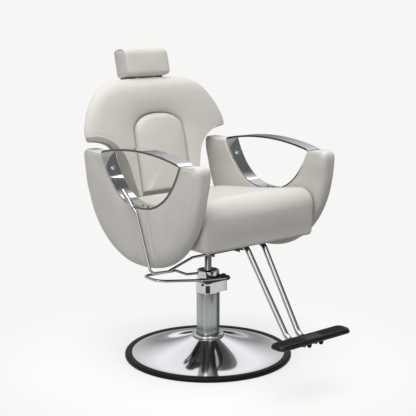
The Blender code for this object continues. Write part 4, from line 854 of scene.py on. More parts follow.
def cover_skin(name, front, loops, rear):
    """A closed cover: a front grid, loops of band points, and a rear grid."""
    rows, columns = front.shape[:2]
    count = rows * columns
    points = [tuple(p) for p in front.reshape(-1, 3)] + [tuple(p) for p in rear.reshape(-1, 3)]
    faces = []
    for i in range(rows - 1):
        for j in range(columns - 1):
            a = i * columns + j
            faces.append((a, a + 1, a + columns + 1, a + columns))
            faces.append((count + a, count + a + columns, count + a + columns + 1, count + a + 1))
    ring = [i * columns + j for i, j in border(rows, columns)]
    before = ring
    for loop in loops:
        first = len(points)
        points += [tuple(p) for p in loop]
        after = list(range(first, first + len(ring)))
        faces += [(before[k], before[k - 1], after[k - 1], after[k]) for k in range(len(ring))]
        before = after
    after = [count + k for k in ring]
    faces += [(before[k], before[k - 1], after[k - 1], after[k]) for k in range(len(ring))]
    return skin_piece(name, points, faces, sharp=60.0)


def coordinates(piece):
    """A piece's points as an array."""
    flat = np.zeros(len(piece.data.vertices) * 3)
    piece.data.vertices.foreach_get("co", flat)
    return flat.reshape(-1, 3)


def move_points(piece, points):
    """Give a piece new points."""
    piece.data.vertices.foreach_set("co", np.asarray(points, float).ravel())
    piece.data.update()


print("cover skin ready")

# %% [markdown]
# All covers but the thin one at the rear are blown up by a short cloth simulation with their seams
# held. That is how a stuffed cover gets its crown: tight at the seam, full between. Hold, pressure
# and cap are set for each piece, and the smoothed result becomes the mesh.

# %% Cloth
CLOTH_FRAMES = 18
CLOTH_STIFFNESS = 18.0


def even_out(piece, move, passes=14):
    """Smooth a movement over a piece's neighbouring points, so that stray creases go."""
    ends = np.array([edge.vertices[:] for edge in piece.data.edges])
    count = np.bincount(ends.ravel(), minlength=len(move))[:, None]
    for _ in range(passes):
        total = np.zeros_like(move)
        np.add.at(total, ends[:, 0], move[ends[:, 1]])
        np.add.at(total, ends[:, 1], move[ends[:, 0]])
        move = 0.4 * move + 0.6 * total / count
    return move


def eased(piece, chosen, passes=16):
    """Ease the chosen points of a piece towards their neighbours."""
    points = coordinates(piece)
    move_points(piece, np.where(chosen(points)[:, None], even_out(piece, points, passes), points))


def blow_up(piece, held, pressure, cap):
    """Swell a cover by cloth pressure where it isn't held, by no more than a cap."""
    rest = coordinates(piece)
    group = piece.vertex_groups.new(name="held")
    for index, weight in enumerate(held):
        group.add([index], float(weight), 'REPLACE')
    cloth = piece.modifiers.new("cover", 'CLOTH')
    cloth.settings.vertex_group_mass = "held"
    cloth.settings.use_pressure = True
    cloth.settings.uniform_pressure_force = pressure
    cloth.settings.effector_weights.gravity = 0.0
    cloth.settings.quality = 5
    cloth.settings.tension_stiffness = CLOTH_STIFFNESS
    cloth.settings.compression_stiffness = CLOTH_STIFFNESS
    cloth.settings.bending_stiffness = 2.0
    cloth.settings.air_damping = 3.0
    cloth.point_cache.frame_start = 1
    cloth.point_cache.frame_end = CLOTH_FRAMES
    for number in range(1, CLOTH_FRAMES + 1):
        bpy.context.scene.frame_set(number)
    shaped = piece.evaluated_get(bpy.context.evaluated_depsgraph_get())
    swollen = np.array([v.co[:] for v in shaped.data.vertices])
    piece.modifiers.clear()
    piece.vertex_groups.clear()
    bpy.context.scene.frame_set(1)
    move = even_out(piece, swollen - rest)
    reach = np.linalg.norm(move, axis=1)
    limit = cap * np.tanh(reach / cap) / np.maximum(reach, 1e-9)
    move_points(piece, rest + move * limit[:, None])
    return float((reach * limit).max())


def finer(piece):
    """One subdivision, made part of the mesh."""
    step = piece.modifiers.new("finer", 'SUBSURF')
    step.levels = 1
    step.render_levels = 1
    step.use_limit_surface = False
    bpy.context.view_layer.update()
    shaped = piece.evaluated_get(bpy.context.evaluated_depsgraph_get())
    piece.data = bpy.data.meshes.new_from_object(shaped)
    piece.modifiers.clear()
    piece.data.shade_smooth()
    return piece


print("cloth frames", CLOTH_FRAMES)

# %% [markdown]
# ## Seams
# A seam shows as a furrow with rows of stitches, or as a cord of piping. A sewn line is drawn flat
# and thrown onto the finished cover by rays; then the furrow is pressed into the mesh and the
# stitches are laid on it. Stitches are short spindles of thread, a few millimetres each.

# %% Seam helpers


def on_surface(piece, spots, way):
    """Throw points onto a piece along a way; returns places and normals."""
    bm = bmesh.new()
    bm.from_mesh(piece.data)
    tree = BVHTree.FromBMesh(bm)
    bm.free()
    places = []
    for spot in spots:
        place, normal, index, far = tree.ray_cast(Vector(spot), Vector(way))
        if place is not None:
            places.append((place, normal))
    return places


def furrow(piece, places, width, depth):
    """Press a line of places into a piece."""
    points = coordinates(piece)
    normals = np.zeros(len(points) * 3)
    piece.data.vertices.foreach_get("normal", normals)
    normals = normals.reshape(-1, 3)
    line = np.array([p[:] for p, n in places])
    low = line.min(axis=0) - 4 * width
    high = line.max(axis=0) + 4 * width
    near = np.where(np.all((points > low) & (points < high), axis=1))[0]
    away = away_from(points[near], line)
    points[near] -= normals[near] * (depth * np.exp(-(away / width) ** 2))[:, None]
    move_points(piece, points)


def stitches(name, places, pitch=0.005, length=0.0034, thick=0.00045):
    """A row of stitches along places on a surface."""
    line = np.array([p[:] for p, n in places])
    lifts = np.array([n[:] for p, n in places])
    count = max(2, int(line_length(line) / pitch))
    centres = along(line, (np.arange(count) + 0.5) / count)
    ends = along(line, np.minimum(1.0, (np.arange(count) + 0.6) / count))
    ups = along(np.hstack([line, lifts]), (np.arange(count) + 0.5) / count)[:, 3:]
    points = []
    faces = []
    for centre, ahead, up in zip(centres, ends, ups):
        way = Vector(ahead - centre).normalized()
        up = Vector(up).normalized()
        across = way.cross(up)
        rings = []
        for share, size in ((-0.5, 0.35), (-0.3, 0.9), (0.0, 1.0), (0.3, 0.9), (0.5, 0.35)):
            middle = Vector(centre) + way * (share * length) + up * thick * (0.55 * size - 0.25)
            rings.append([middle + (across * math.cos(t) + up * math.sin(t)) * thick * size
                          for t in (0.0, 1.047, 2.094, 3.142, 4.189, 5.236)])
        add_skin(points, faces, rings)
    return skin_piece(name, points, faces)


print("seam helpers ready")

# %% [markdown]
# ## Arms
# Each arm is a half oval pad, cut out at the top for a chrome strap. The cover is a crescent: the
# grid runs from the front horn down and up to the rear horn, and across from the oval to the
# cut-out. Its outer edge rolls widely, its top edges are sewn crisp. One arm is blown up and
# mirrored, so both match. Outlines come first: the oval, with its horns rounded, and the cut-out.

# %% Arm outlines
ARM_REAR = 0.323
ARM_FRONT = 0.321
ARM_LOW = 0.3705
FRONT_CORNER = 0.020
REAR_CORNER = 0.013
STRAP = 0.0040
STRAP_ROOM = 0.0009

oval = []
for turn in np.linspace(math.pi, 0.0, 361):
    across = math.cos(turn)
    down = max(0.0, math.sin(turn))
    power = 2.1 if across >= 0 else 2.2
    reach = ARM_REAR if across >= 0 else ARM_FRONT
    oval.append((math.copysign(reach * abs(across) ** (2 / power), across),
                 ARM_TOP - (ARM_TOP - ARM_LOW) * down ** (2 / power)))
oval = np.array(oval)


def horn_rounded(line, size, inward):
    """Round the corner between the start of a line and the level top of the arm."""
    corner = line[0]
    kept = line[np.linalg.norm(line - corner, axis=1) > size]
    t = np.linspace(0.0, 1.0, 10)[:-1, None]
    top = corner + (inward * size, 0.0)
    return np.concatenate([(1 - t) ** 2 * top + 2 * t * (1 - t) * corner + t * t * kept[0], kept])


oval = horn_rounded(oval, FRONT_CORNER, 1.0)
oval = horn_rounded(oval[::-1], REAR_CORNER, -1.0)[::-1]
half_low = bezier((LOOP_HALF, LOOP_DEPTH), (LOOP_HALF * 0.78, LOOP_DEPTH * 0.29),
                  (LOOP_HALF * 0.45, 0.0), (0.0, 0.0), 61)
low_line = np.concatenate([half_low * (-1, 1), half_low[-2::-1]])
low_line = low_line + (LOOP_CENTRE, ARM_TOP - LOOP_DEPTH)
notch = beside(low_line, -(STRAP + STRAP_ROOM))
tail = notch[1] - notch[0]
first_end = notch[0] - tail * (ARM_TOP - notch[0][1]) / tail[1]
tail = notch[-1] - notch[-2]
last_end = notch[-1] + tail * (ARM_TOP - notch[-1][1]) / tail[1]
notch = np.concatenate([[first_end], notch[notch[:, 1] < ARM_TOP - 0.001], [last_end]])
print("arm oval", round(line_length(oval), 3), "cut-out", round(line_length(notch), 3))

# %% [markdown]
# The pad is a little fuller in the middle of its outer face, and its inner face stands nearer the
# seat towards the top. The front horn stands up a little, so that the end of the strap lies flush.

# %% Arm pads
ROLL_OUT = 0.026
ROLL_IN = 0.021
ROLL_TOP = 0.0110
ROLL_NOTCH = 0.0050
NOTCH_DROP = 0.0045
OUTER_FULL = 0.0025
INNER_LEAN = 0.006
HORN_RISE = 0.0060

shares = edge_shares(line_length(oval), ROLL_TOP, ROLL_TOP, 118, 5)
columns = []
for a, b in zip(along(oval, shares), along(notch, shares)):
    rows = edge_shares(np.linalg.norm(b - a), ROLL_OUT, ROLL_NOTCH, 16, 7)
    columns.append(a + rows[:, None] * (b - a))
flat = np.stack(columns, axis=1)
shape = flat.shape[:2]
spots = flat.reshape(-1, 2)
from_oval = away_from(spots, oval)
from_notch = away_from(spots, notch)
from_top = ARM_TOP - spots[:, 1]
at_notch = roll(from_notch, ROLL_NOTCH, NOTCH_DROP)
belly = ramp(np.minimum(from_oval, from_notch), 0.0, 0.07)
outer_x = ARM_OUTER - 0.0045 + OUTER_FULL * np.sin(belly * math.pi / 2)
outer_x -= soft_max(roll(from_oval, ROLL_OUT, 0.020), roll(from_top, ROLL_TOP, 0.0085), at_notch)
inner_x = ARM_INNER - INNER_LEAN * ramp(spots[:, 1], 0.645, 0.695)
inner_x += soft_max(roll(from_oval, ROLL_IN, 0.017), roll(from_top, ROLL_TOP, 0.0065), at_notch)
front = np.dstack([-outer_x.reshape(shape), flat])
rear = np.dstack([-inner_x.reshape(shape), flat])
ring = border(*shape)
edge_out = np.array([front[i, j] for i, j in ring])
edge_in = np.array([rear[i, j] for i, j in ring])
loops = [edge_out + (edge_in - edge_out) * k / 8 for k in range(1, 8)]
arm_right = cover_skin("arm_cover_right", front, loops, rear)


def horn_lift(y, z):
    """How far the cover of the front horn stands up."""
    corner = notch[0][0] + 0.002
    ahead = ramp(y, corner, corner - 0.012)
    return HORN_RISE * ahead ** 2 * (3 - 2 * ahead) * ramp(z, ARM_TOP - 0.050, ARM_TOP) ** 2


points = coordinates(arm_right)
points[:, 2] += horn_lift(points[:, 1], points[:, 2])
move_points(arm_right, points)
print("arm points", len(points))

# %% [markdown]
# The cloth may swell the outer face only. The inner face, the top and the cut-out's edge are held.

# %% Arm cover blown up
inside = np.minimum(away_from(points[:, 1:], notch), ARM_TOP - points[:, 2])
outward = ramp(-points[:, 0], ARM_INNER + 0.012, ARM_INNER + 0.024)
swell = blow_up(arm_right, 1.0 - outward * ramp(inside, 0.004, 0.014), 3.0, 0.0045)
finer(arm_right)
print("arm swell", round(swell * 1000, 1), "mm, faces", len(arm_right.data.polygons))

# %% [markdown]
# The seams of an arm run along the top of the outer face and down the edge of each horn. They are
# pressed in as furrows with a row of stitches on either side, which reads as the double line of
# the real cover. Two soft folds lie below the cut-out. The finished arm is then mirrored.

# %% Arm seams


def arm_seam(inset_top, inset_edge, reach):
    """Flat routes up the edge of the front and the rear horn, and along its top."""
    edge = beside(oval, inset_edge)
    level = ARM_TOP - inset_top
    routes = []
    for end, inward, shares in ((0, 1.0, np.linspace(reach, 0.004, 60)),
                                (-1, -1.0, np.linspace(1.0 - reach, 0.996, 60))):
        rising = along(edge, shares)
        y = np.linspace(edge[end][0] + inward * 0.006, notch[end][0] - inward * 0.004, 24)
        top = np.stack([y, level + horn_lift(y, ARM_TOP)], axis=1)
        routes.append(np.concatenate([rising[rising[:, 1] < level - 0.006], top]))
    return routes


def on_arm(route):
    """Places of a flat route on the outer face of the right arm."""
    return on_surface(arm_right, [(-0.5, y, z) for y, z in route], (1, 0, 0))


def mirror_piece(piece, name):
    """The same piece on the other side of the chair."""
    mesh = piece.data.copy()
    mesh.transform(Matrix.Diagonal((-1.0, 1.0, 1.0, 1.0)))
    mesh.flip_normals()
    made = bpy.data.objects.new(name, mesh)
    bpy.context.scene.collection.objects.link(made)
    return made


for fold in ([(-0.0618, 0.5640), (-0.0719, 0.5289), (-0.0874, 0.4814), (-0.1060, 0.4300)],
             [(-0.0507, 0.5560), (-0.0607, 0.5103), (-0.0700, 0.4560)]):
    furrow(arm_right, on_arm(smooth_line(fold)), 0.0075, 0.0020)
for route in arm_seam(0.0075, 0.017, 0.13):
    furrow(arm_right, on_arm(route), 0.0024, 0.0012)
rows = []
for number, insets in enumerate(((0.0045, 0.0135), (0.0110, 0.0205))):
    for end_word, route in zip(("front", "rear"), arm_seam(*insets, 0.12)):
        rows.append(stitches("arm_stitch_%s_%d_right" % (end_word, number + 1), on_arm(route)))
arm_left = mirror_piece(arm_right, "arm_cover_left")
rows += [mirror_piece(row, row.name.replace("right", "left")) for row in rows]
for row in rows:
    fit(row, "seat", "leather", THREAD)
for piece, word in ((arm_right, "right"), (arm_left, "left")):
    fit(piece, "seat", "leather", LEATHER, "arm_pad_" + word)
print("rows of arm stitches", len(rows))

# %% [markdown]
# ## Strap loops
# A flat chrome bar bent into a loop: its bow is the armrest and is thicker, its belly lies in the
# cut-out of the pad. It is a band between two outlines, with its long edges broken.

# %% Strap loops
BOW_THICK = 0.0072
STRAP_INSET = 0.002

arc_radius = (LOOP_HALF ** 2 + LOOP_RISE ** 2) / (2 * LOOP_RISE)
arc_half = math.asin(LOOP_HALF / arc_radius)
bow = [(LOOP_CENTRE + arc_radius * math.sin(t), ARM_TOP + LOOP_RISE - arc_radius * (1 - math.cos(t)))
       for t in np.linspace(arc_half, -arc_half, 64)[1:-1]]
loop_inner = np.concatenate([low_line, bow])


def widened(outline, amount):
    """A closed outline grown outwards with mitred corners."""
    before = np.roll(outline, 1, axis=0)
    after = np.roll(outline, -1, axis=0)
    one = (outline - before) / np.linalg.norm(outline - before, axis=1)[:, None]
    two = (after - outline) / np.linalg.norm(after - outline, axis=1)[:, None]
    first = np.stack([one[:, 1], -one[:, 0]], axis=1)
    second = np.stack([two[:, 1], -two[:, 0]], axis=1)
    share = np.maximum(0.35, 1.0 + (first * second).sum(axis=1))
    return outline + (first + second) * (amount / share)[:, None]


thick = np.where(np.arange(len(loop_inner)) < len(low_line), STRAP, BOW_THICK)
loop_outer = widened(loop_inner, thick)
for side, word in SIDES:
    near = side * (ARM_INNER + STRAP_INSET)
    far = side * (ARM_OUTER - STRAP_INSET)
    rings = []
    for (iy, iz), (oy, oz) in zip(loop_inner, loop_outer):
        rings.append([(near, iy, iz), (far, iy, iz), (far, oy, oz), (near, oy, oz)])
    loop = skin_piece("strap_loop_" + word, *ring_skin(rings, closed=True), sharp=30.0)
    broken_edges(loop, 0.0009, 3, 50.0)
    fit(loop, "seat", "chrome", CHROME, "arm_loop_" + word)
    # The side faces of each strap are near black: painted dark reflection.
    loop.data.materials.append(EDGE_DARK_REFLECTION)
    for face in loop.data.polygons:
        face.material_index = 1 if abs(face.normal.x) > 0.7 else 0
print("strap loop points", len(loop_inner))

# %% [markdown]
# Two dome bolts hold each belly high on its flanks, and two small screws at its lowest part.

# %% Strap bolts
BOLT_DROP = 0.052
STRAP_STEPS = 800
bolt = [(0.0, 0.0), (0.0090, 0.0), (0.0090, 0.0008), (0.0082, 0.0010), (0.0080, 0.0014), (0.0070, 0.0036),
        (0.0050, 0.0050), (0.0034, 0.0054), (0.0030, 0.0050), (0.0028, 0.0030), (0.0, 0.0028)]
screw = [(0.0, 0.0), (0.0036, 0.0), (0.0036, 0.0005), (0.0030, 0.0014), (0.0018, 0.0018), (0.0013, 0.0016),
         (0.0011, 0.0008), (0.0, 0.0007)]


def set_on_strap(name, profile, steps, step, middle):
    """Turn a bolt and set it on the belly of a strap, so many steps along."""
    share = step / STRAP_STEPS
    spot = along(low_line, [share])[0]
    ahead = along(low_line, [share + 0.002])[0] - spot
    out = np.array([-ahead[1], ahead[0]]) / np.linalg.norm(ahead)
    return placed(lathe(name, profile, steps), (0.0, *out), (middle, *(spot + out * GAP)))


belly_line = along(low_line, np.linspace(0.0, 1.0, STRAP_STEPS + 1))
below = np.where(belly_line[:, 1] < ARM_TOP - BOLT_DROP)[0]
too_high = belly_line[:, 1] > 0.62
for side, word in SIDES:
    middle = side * (ARM_INNER + ARM_OUTER) / 2
    for step, end_word in ((below[0], "front"), (below[-1], "rear")):
        head = set_on_strap("strap_bolt_%s_%s" % (end_word, word), bolt, 40, step, middle)
        fit(head, "seat", "chrome", CHROME, "arm_bolt_%s_%s" % (end_word, word))
    for number, y in enumerate((-0.003, -0.031)):
        step = np.argmin(np.abs(belly_line[:, 0] - y) + too_high)
        head = set_on_strap("strap_screw_%d_%s" % (number + 1, word), screw, 28, step, middle)
        fit(head, "seat", "black_steel", BLACK_PLASTIC_AND_SHADE)

# %% [markdown]
# ## Seat
# The seat cushion is one side profile drawn across the chair: a long top that dips a little, a
# large roll over the front edge, and sides that roll in. It is blown up with its underside, its
# back and its sides held.

# %% Seat cushion
SEAT_HALF = 0.2485
SEAT_FRONT = -0.283
SEAT_FRONT_TOP = 0.609
SEAT_REAR_TOP = 0.562
SEAT_BOTTOM = 0.4669
SEAT_EDGE = 0.022
BACK_TILT = math.radians(13.5)
BACK_FOOT = (0.215, 0.560)
SKIRT = 0.4525
SEAT_DIP = 0.005
NOSE_LEAN = 0.007
SEAT_CROWN = 0.006
BOARD_HALF = 0.2365
BOARD_FRONT = -0.264

rear_low = BACK_FOOT[0] - (BACK_FOOT[1] - SEAT_BOTTOM) * math.tan(BACK_TILT) - 0.005
rear_top = BACK_FOOT[0] - 0.005 + (SEAT_REAR_TOP - BACK_FOOT[1]) * math.tan(BACK_TILT)


def round_profile(corners, sizes, count):
    """A closed profile with a radius of its own at each corner, as evenly spaced points."""
    made = []
    for i, size in enumerate(sizes):
        trio = [corners[i - 1], corners[i], corners[(i + 1) % len(corners)]]
        bend = fillet([(0.0, *p) for p in trio], size, 14)
        made += [(p.y, p.z) for p in bend[1:-1]]
    return along(made + made[:1], np.linspace(0.0, 1.0, count + 1))[:-1]


corners = [(rear_low, SKIRT), (rear_top, SEAT_REAR_TOP),
           (SEAT_FRONT, SEAT_FRONT_TOP + 0.012), (SEAT_FRONT, SKIRT)]
seat_side = round_profile(corners, (0.006, 0.016, 0.056, 0.008), 192)
dip = np.sin(math.pi * ramp(seat_side[:, 0], SEAT_FRONT, rear_top)) ** 2
seat_side[:, 1] -= SEAT_DIP * dip * ramp(seat_side[:, 1], 0.53, 0.55)
low_down = 1.0 - ramp(seat_side[:, 1], SKIRT, SEAT_FRONT_TOP)
seat_side[:, 0] += NOSE_LEAN * low_down * ramp(seat_side[:, 0], SEAT_FRONT + 0.05, SEAT_FRONT + 0.01)


def drawn(outline, amount):
    """An outline made smaller by one amount on all sides of its box."""
    low = outline.min(axis=0)
    high = outline.max(axis=0)
    centre = (low + high) / 2
    return centre + (outline - centre) * (1.0 - 2 * amount / (high - low))


sections = []
for turn in np.linspace(0.0, math.pi / 2, 8):
    sections.append((SEAT_HALF - SEAT_EDGE * (1 - math.sin(turn)), SEAT_EDGE * (1 - math.cos(turn))))
inner_run = [(x, 0.0) for x in np.linspace(0.0, SEAT_HALF - SEAT_EDGE, 25)[:-1]]
sections = inner_run + sections
sections = [(-x, d) for x, d in sections[:0:-1]] + sections
rings = []
for x, draw in sections:
    ring = drawn(seat_side, draw)
    lift = np.maximum(0.0, (ring[:, 1] - SEAT_BOTTOM) / (SEAT_FRONT_TOP - SEAT_BOTTOM) - 0.4)
    tall = ring[:, 1] + SEAT_CROWN * lift * (1 - (x / SEAT_HALF) ** 2)
    rings.append(np.stack([np.full(len(ring), x), ring[:, 0], tall], axis=1))
for end in (0, -1):
    side_ring = rings[end]
    centre = side_ring.mean(axis=0)
    shrinks = [centre + (side_ring - centre) * s for s in (0.85, 0.68, 0.5, 0.32, 0.14)]
    rings = shrinks[::-1] + rings if end == 0 else rings + shrinks
seat_cover = skin_piece("seat_cover", *ring_skin(rings), sharp=60.0)
points = coordinates(seat_cover)
under = points[:, 2] < SKIRT + 0.0008
over_board = (np.abs(points[:, 0]) < BOARD_HALF) & (points[:, 1] > BOARD_FRONT) & under
points[over_board, 2] = SEAT_BOTTOM
move_points(seat_cover, points)
up = ramp(points[:, 2], SEAT_BOTTOM + 0.006, SEAT_BOTTOM + 0.036)
from_back = ramp(points[:, 1], rear_low - 0.002, rear_low - 0.032)
from_side = ramp(np.abs(points[:, 0]), SEAT_HALF - 0.002, SEAT_HALF - 0.022)
swell = blow_up(seat_cover, 1.0 - up * from_back * from_side, 3.5, 0.006)
finer(seat_cover)
print("seat swell", round(swell * 1000, 1), "mm, faces", len(seat_cover.data.polygons))

# %% [markdown]
# A seam runs over the seat near each side: a furrow between two rows of stitches.

# %% Seat seams


def seat_line(x):
    """Places over the top of the seat, round its nose and down its front."""
    lengths = np.linspace(0.19, SEAT_FRONT + 0.018, 90)
    heights = np.linspace(SEAT_FRONT_TOP - 0.012, SKIRT + 0.006, 40)
    top = on_surface(seat_cover, [(x, y, 0.8) for y in lengths], (0, 0, -1))
    face = on_surface(seat_cover, [(x, -0.6, z) for z in heights], (0, 1, 0))
    return top + [place for place in face if place[0].z < top[-1][0].z - 0.002]


for side, word in SIDES:
    furrow(seat_cover, seat_line(side * (SEAT_HALF - 0.026)), 0.0026, 0.0014)
    for number, x in enumerate((SEAT_HALF - 0.0225, SEAT_HALF - 0.0295)):
        row = stitches("seat_stitch_%d_%s" % (number + 1, word), seat_line(side * x))
        fit(row, "seat", "leather", THREAD)
fit(seat_cover, "seat", "leather", LEATHER, "seat_cushion")

# %% [markdown]
# ## Back
# The back is a winged shield on a narrow stem, with an arched panel let into its middle. Its cover
# is again a crescent: the grid runs from one foot of the stem, round the wings and over the top,
# to the other foot, and across from the outer edge to the pocket. The top edge rolls far onto the
# face, the undersides of the wings are sewn crisp, and the face dips into the pocket.

# %% Back outlines
BACK_HEIGHT = 0.430
BACK_HALF = 0.321
WING = 0.222
STEM_HALF = 0.140
STEM_DROP = 0.024
BACK_THICK = 0.080
REAR_ROUND = 0.052
PANEL_HALF = 0.1105
PANEL_BOTTOM = 0.010
PANEL_TOP = 0.2955
PANEL_ARCH = 0.071
PANEL_SHOULDER = PANEL_TOP - PANEL_ARCH
PANEL_DEPTH = 0.036
ARCH_POWER = 2.3

back_up = Vector((0.0, math.sin(BACK_TILT), math.cos(BACK_TILT)))
back_rear = Vector((0.0, math.cos(BACK_TILT), -math.sin(BACK_TILT)))
back_foot = Vector((0.0, *BACK_FOOT))


def back_place(u, depth, v):
    """A point of the back: across, rearwards from its face, up from its foot."""
    return Vector((u, 0.0, 0.0)) + back_foot + back_rear * depth + back_up * v


def on_back(flat, depths):
    """Points of the back from flat points and their depths."""
    return np.array([back_place(u, d, v)[:] for (u, v), d in zip(flat, depths)])


def off_back(points):
    """Flat points and depths from points of the back."""
    offset = points - np.array(back_foot)
    return np.stack([points[:, 0], offset @ np.array(back_up)], axis=1), offset @ np.array(back_rear)


def one_side(flat):
    """Flat points folded onto one side of the middle."""
    return np.stack([np.abs(flat[:, 0]), flat[:, 1]], axis=1)


front_under = smooth_line([(0.134, -STEM_DROP), (0.1385, 0.010), (0.149, 0.050), (0.1575, 0.090),
                           (0.165, 0.120), (0.1745, 0.148), (0.191, 0.176), (0.2206, 0.2035),
                           (0.2536, 0.2200), (0.285, 0.2275), (0.3165, 0.2290)])
rear_under = np.concatenate([[(STEM_HALF - 0.006, -STEM_DROP)],
                             bezier((STEM_HALF, 0.0), (STEM_HALF + 0.035, WING * 0.53),
                                    (BACK_HALF * 0.63, WING - 0.001), (BACK_HALF - 0.004, WING), 80)])
dome = smooth_line([(0.3210, 0.2335), (0.3193, 0.2520), (0.3110, 0.2810), (0.2985, 0.3110), (0.2828, 0.3390),
                    (0.2605, 0.3685), (0.2365, 0.3920), (0.2065, 0.4098), (0.170, 0.4212), (0.120, 0.4272),
                    (0.060, 0.4295), (0.0, 0.4300)])
tip = np.array([(0.3180, 0.2293), (0.3202, 0.2310)])
low_tip = np.array([(0.3180, 0.2225), (0.3202, 0.2260)])
front_half = np.concatenate([front_under, tip, dome])
rear_half = np.concatenate([rear_under, low_tip, dome])


def arch(margin):
    """One half of the pocket's outline, from the foot of the stem to the top of the arch."""
    half = PANEL_HALF + margin
    rise = PANEL_ARCH + margin
    made = [(half, -STEM_DROP), (half, PANEL_SHOULDER)]
    for turn in np.linspace(0.0, math.pi / 2, 61)[1:]:
        made.append((half * math.cos(turn) ** (2 / ARCH_POWER),
                     PANEL_SHOULDER + rise * math.sin(turn) ** (2 / ARCH_POWER)))
    return np.array(made)


pocket_half = arch(0.0022)
pocket = both_halves(pocket_half)
BACK_MIDDLE = np.array((0.0, WING - 0.006))


def thinned(outline, amount):
    """The outline drawn in for the rear: most at the wings, least at the top."""
    share = ramp(outline[:, 1], BACK_HEIGHT, BACK_HEIGHT - 0.055)
    share = share * (0.25 + 0.75 * ramp(outline[:, 1], 0.08, 0.20))
    out = outline - BACK_MIDDLE
    return BACK_MIDDLE + out * (1.0 - amount * share / np.linalg.norm(out, axis=1))[:, None]


print("half outline of the back", round(line_length(front_half), 3))

# %% [markdown]
# The front of the cover is a grid of flat points, each pushed to its depth. Edges drop back along
# their rolls, the wide parts are crowned, and the face sinks a little beside the pocket.

# %% Back cover front
ROLL_DOME = 0.052
ROLL_UNDER = 0.005
ROLL_POCKET = 0.018
BACK_CROWN = 0.006
POCKET_SINK = 0.005

low_shares = edge_shares(1.0, 0.015, 0.02, 46, 4)
high_shares = np.linspace(0.0, 1.0, 64)[1:]


def in_two(line, first_count):
    """Sample a half outline in two runs: up to the wing tip, and from it to the top."""
    return both_halves(np.concatenate([along(line[:first_count], low_shares),
                                       along(line[first_count - 1:], high_shares)]))


outer_line = in_two(front_half, len(front_under) + 2)
outer_rear = in_two(rear_half, len(rear_under) + 2)
inner_line = in_two(along(pocket_half, np.linspace(0.0, 1.0, 201)), 128)
columns = []
for a, b in zip(outer_line, inner_line):
    gap = np.linalg.norm(b - a)
    rows = edge_shares(gap, min(ROLL_DOME, 0.4 * gap), min(ROLL_POCKET, 0.3 * gap), 12, 9)
    columns.append(a + rows[:, None] * (b - a))
flat = np.stack(columns, axis=1)
shape = flat.shape[:2]
spots = flat.reshape(-1, 2)
dome_line = both_halves(dome)
under_line = np.concatenate([front_under, tip])
from_dome = away_from(spots, dome_line)
from_under = away_from(one_side(spots), under_line)
from_pocket = away_from(spots, pocket)
roll_depth = 0.0180 + 0.0120 * ramp(spots[:, 1], 0.26, 0.40)
fall = 0.55 * roll_depth * ramp(from_dome, ROLL_DOME, 0.0) ** 2.6
fall = fall + roll(from_dome, ROLL_DOME, 0.45 * roll_depth)
drop = soft_max(fall, roll(from_under, ROLL_UNDER, 0.004), roll(from_pocket, ROLL_POCKET, 0.013))
belly = ramp(np.minimum(from_dome, from_pocket + 0.03), 0.0, 0.10)
sink = POCKET_SINK * np.exp(-(from_pocket / 0.030) ** 2)
depth = drop - BACK_CROWN * np.sin(belly * math.pi / 2) + sink
front = on_back(spots, depth).reshape(*shape, 3)
print("back grid", shape)

# %% [markdown]
# A band carries the border of the front to the rear. It flares out to the rear outline, draws in
# behind the wings and narrows inside the pocket; a plain rear face closes it.

# %% Back cover band and rear
ring = border(*shape)
ring_flat = np.array([flat[i, j] for i, j in ring])
ring_depth = np.array([depth.reshape(shape)[i, j] for i, j in ring])
at_pocket = away_from(ring_flat, pocket) < 0.0005
row_share = np.array([i / (shape[0] - 1) for i, j in ring])
ring_rear = np.array([outer_rear[j] for i, j in ring])
ring_rear = ring_rear + row_share[:, None] * (np.array([inner_line[j] for i, j in ring]) - ring_rear)
pocket_centre = np.array((0.0, (PANEL_BOTTOM + PANEL_TOP) / 2))


def band_loop(share, flare, draw):
    """Border points part of the way to the rear."""
    outside = thinned(ring_flat + (ring_rear - ring_flat) * flare, REAR_ROUND * draw)
    narrow = 1.0 - 0.45 * max(0.0, (share - 0.5) / 0.5)
    inside = pocket_centre + (ring_flat - pocket_centre) * narrow
    chosen = np.where(at_pocket[:, None], inside, outside)
    return on_back(chosen, ring_depth + (BACK_THICK - ring_depth) * share)


loops = [band_loop(*row) for row in (
    (0.05, 0.10, 0.07), (0.14, 0.34, 0.20), (0.25, 0.62, 0.36), (0.38, 0.88, 0.55),
    (0.52, 1.0, 0.74), (0.66, 1.0, 0.88), (0.80, 1.0, 0.97), (0.93, 1.0, 1.0))]
rear_outer = thinned(outer_rear, REAR_ROUND)
rear_inner = pocket_centre + (inner_line - pocket_centre) * 0.55
shares = np.linspace(0.0, 1.0, shape[0])
rear_flat = np.stack([a + shares[:, None] * (b - a) for a, b in zip(rear_outer, rear_inner)], axis=1)
rear_flat = rear_flat.reshape(-1, 2)
rear = on_back(rear_flat, np.full(len(rear_flat), BACK_THICK)).reshape(*shape, 3)
back_cover = cover_skin("back_cover_front", front, loops, rear)
print("back cover points", len(back_cover.data.vertices))

# %% [markdown]
# The cover is blown up with the pocket's edge, the undersides of the wings and the rear held. The
# ridge between its front and its band is eased, and the wings are sewn along their undersides.

# %% Back cover blown up and sewn


def outer_ridge(points):
    """Points of the back near the ridge between its front and its band, above the wing tips."""
    places, deep = off_back(points)
    return (away_from(places, dome_line) < 0.012) & (deep < 0.050)


places, deep = off_back(coordinates(back_cover))
clear = np.minimum(away_from(places, pocket), away_from(one_side(places), under_line))
loose = ramp(deep, 0.030, 0.015) * ramp(clear, 0.006, 0.026)
swell = blow_up(back_cover, 1.0 - loose, 3.0, 0.005)
finer(back_cover)
eased(back_cover, outer_ridge)


def under_wing(side, inset):
    """Places along the underside of a wing, an inset above its edge."""
    line = beside(front_under, inset)[20:-6]
    return on_surface(back_cover, [back_place(side * u, -0.2, v) for u, v in line], back_rear)


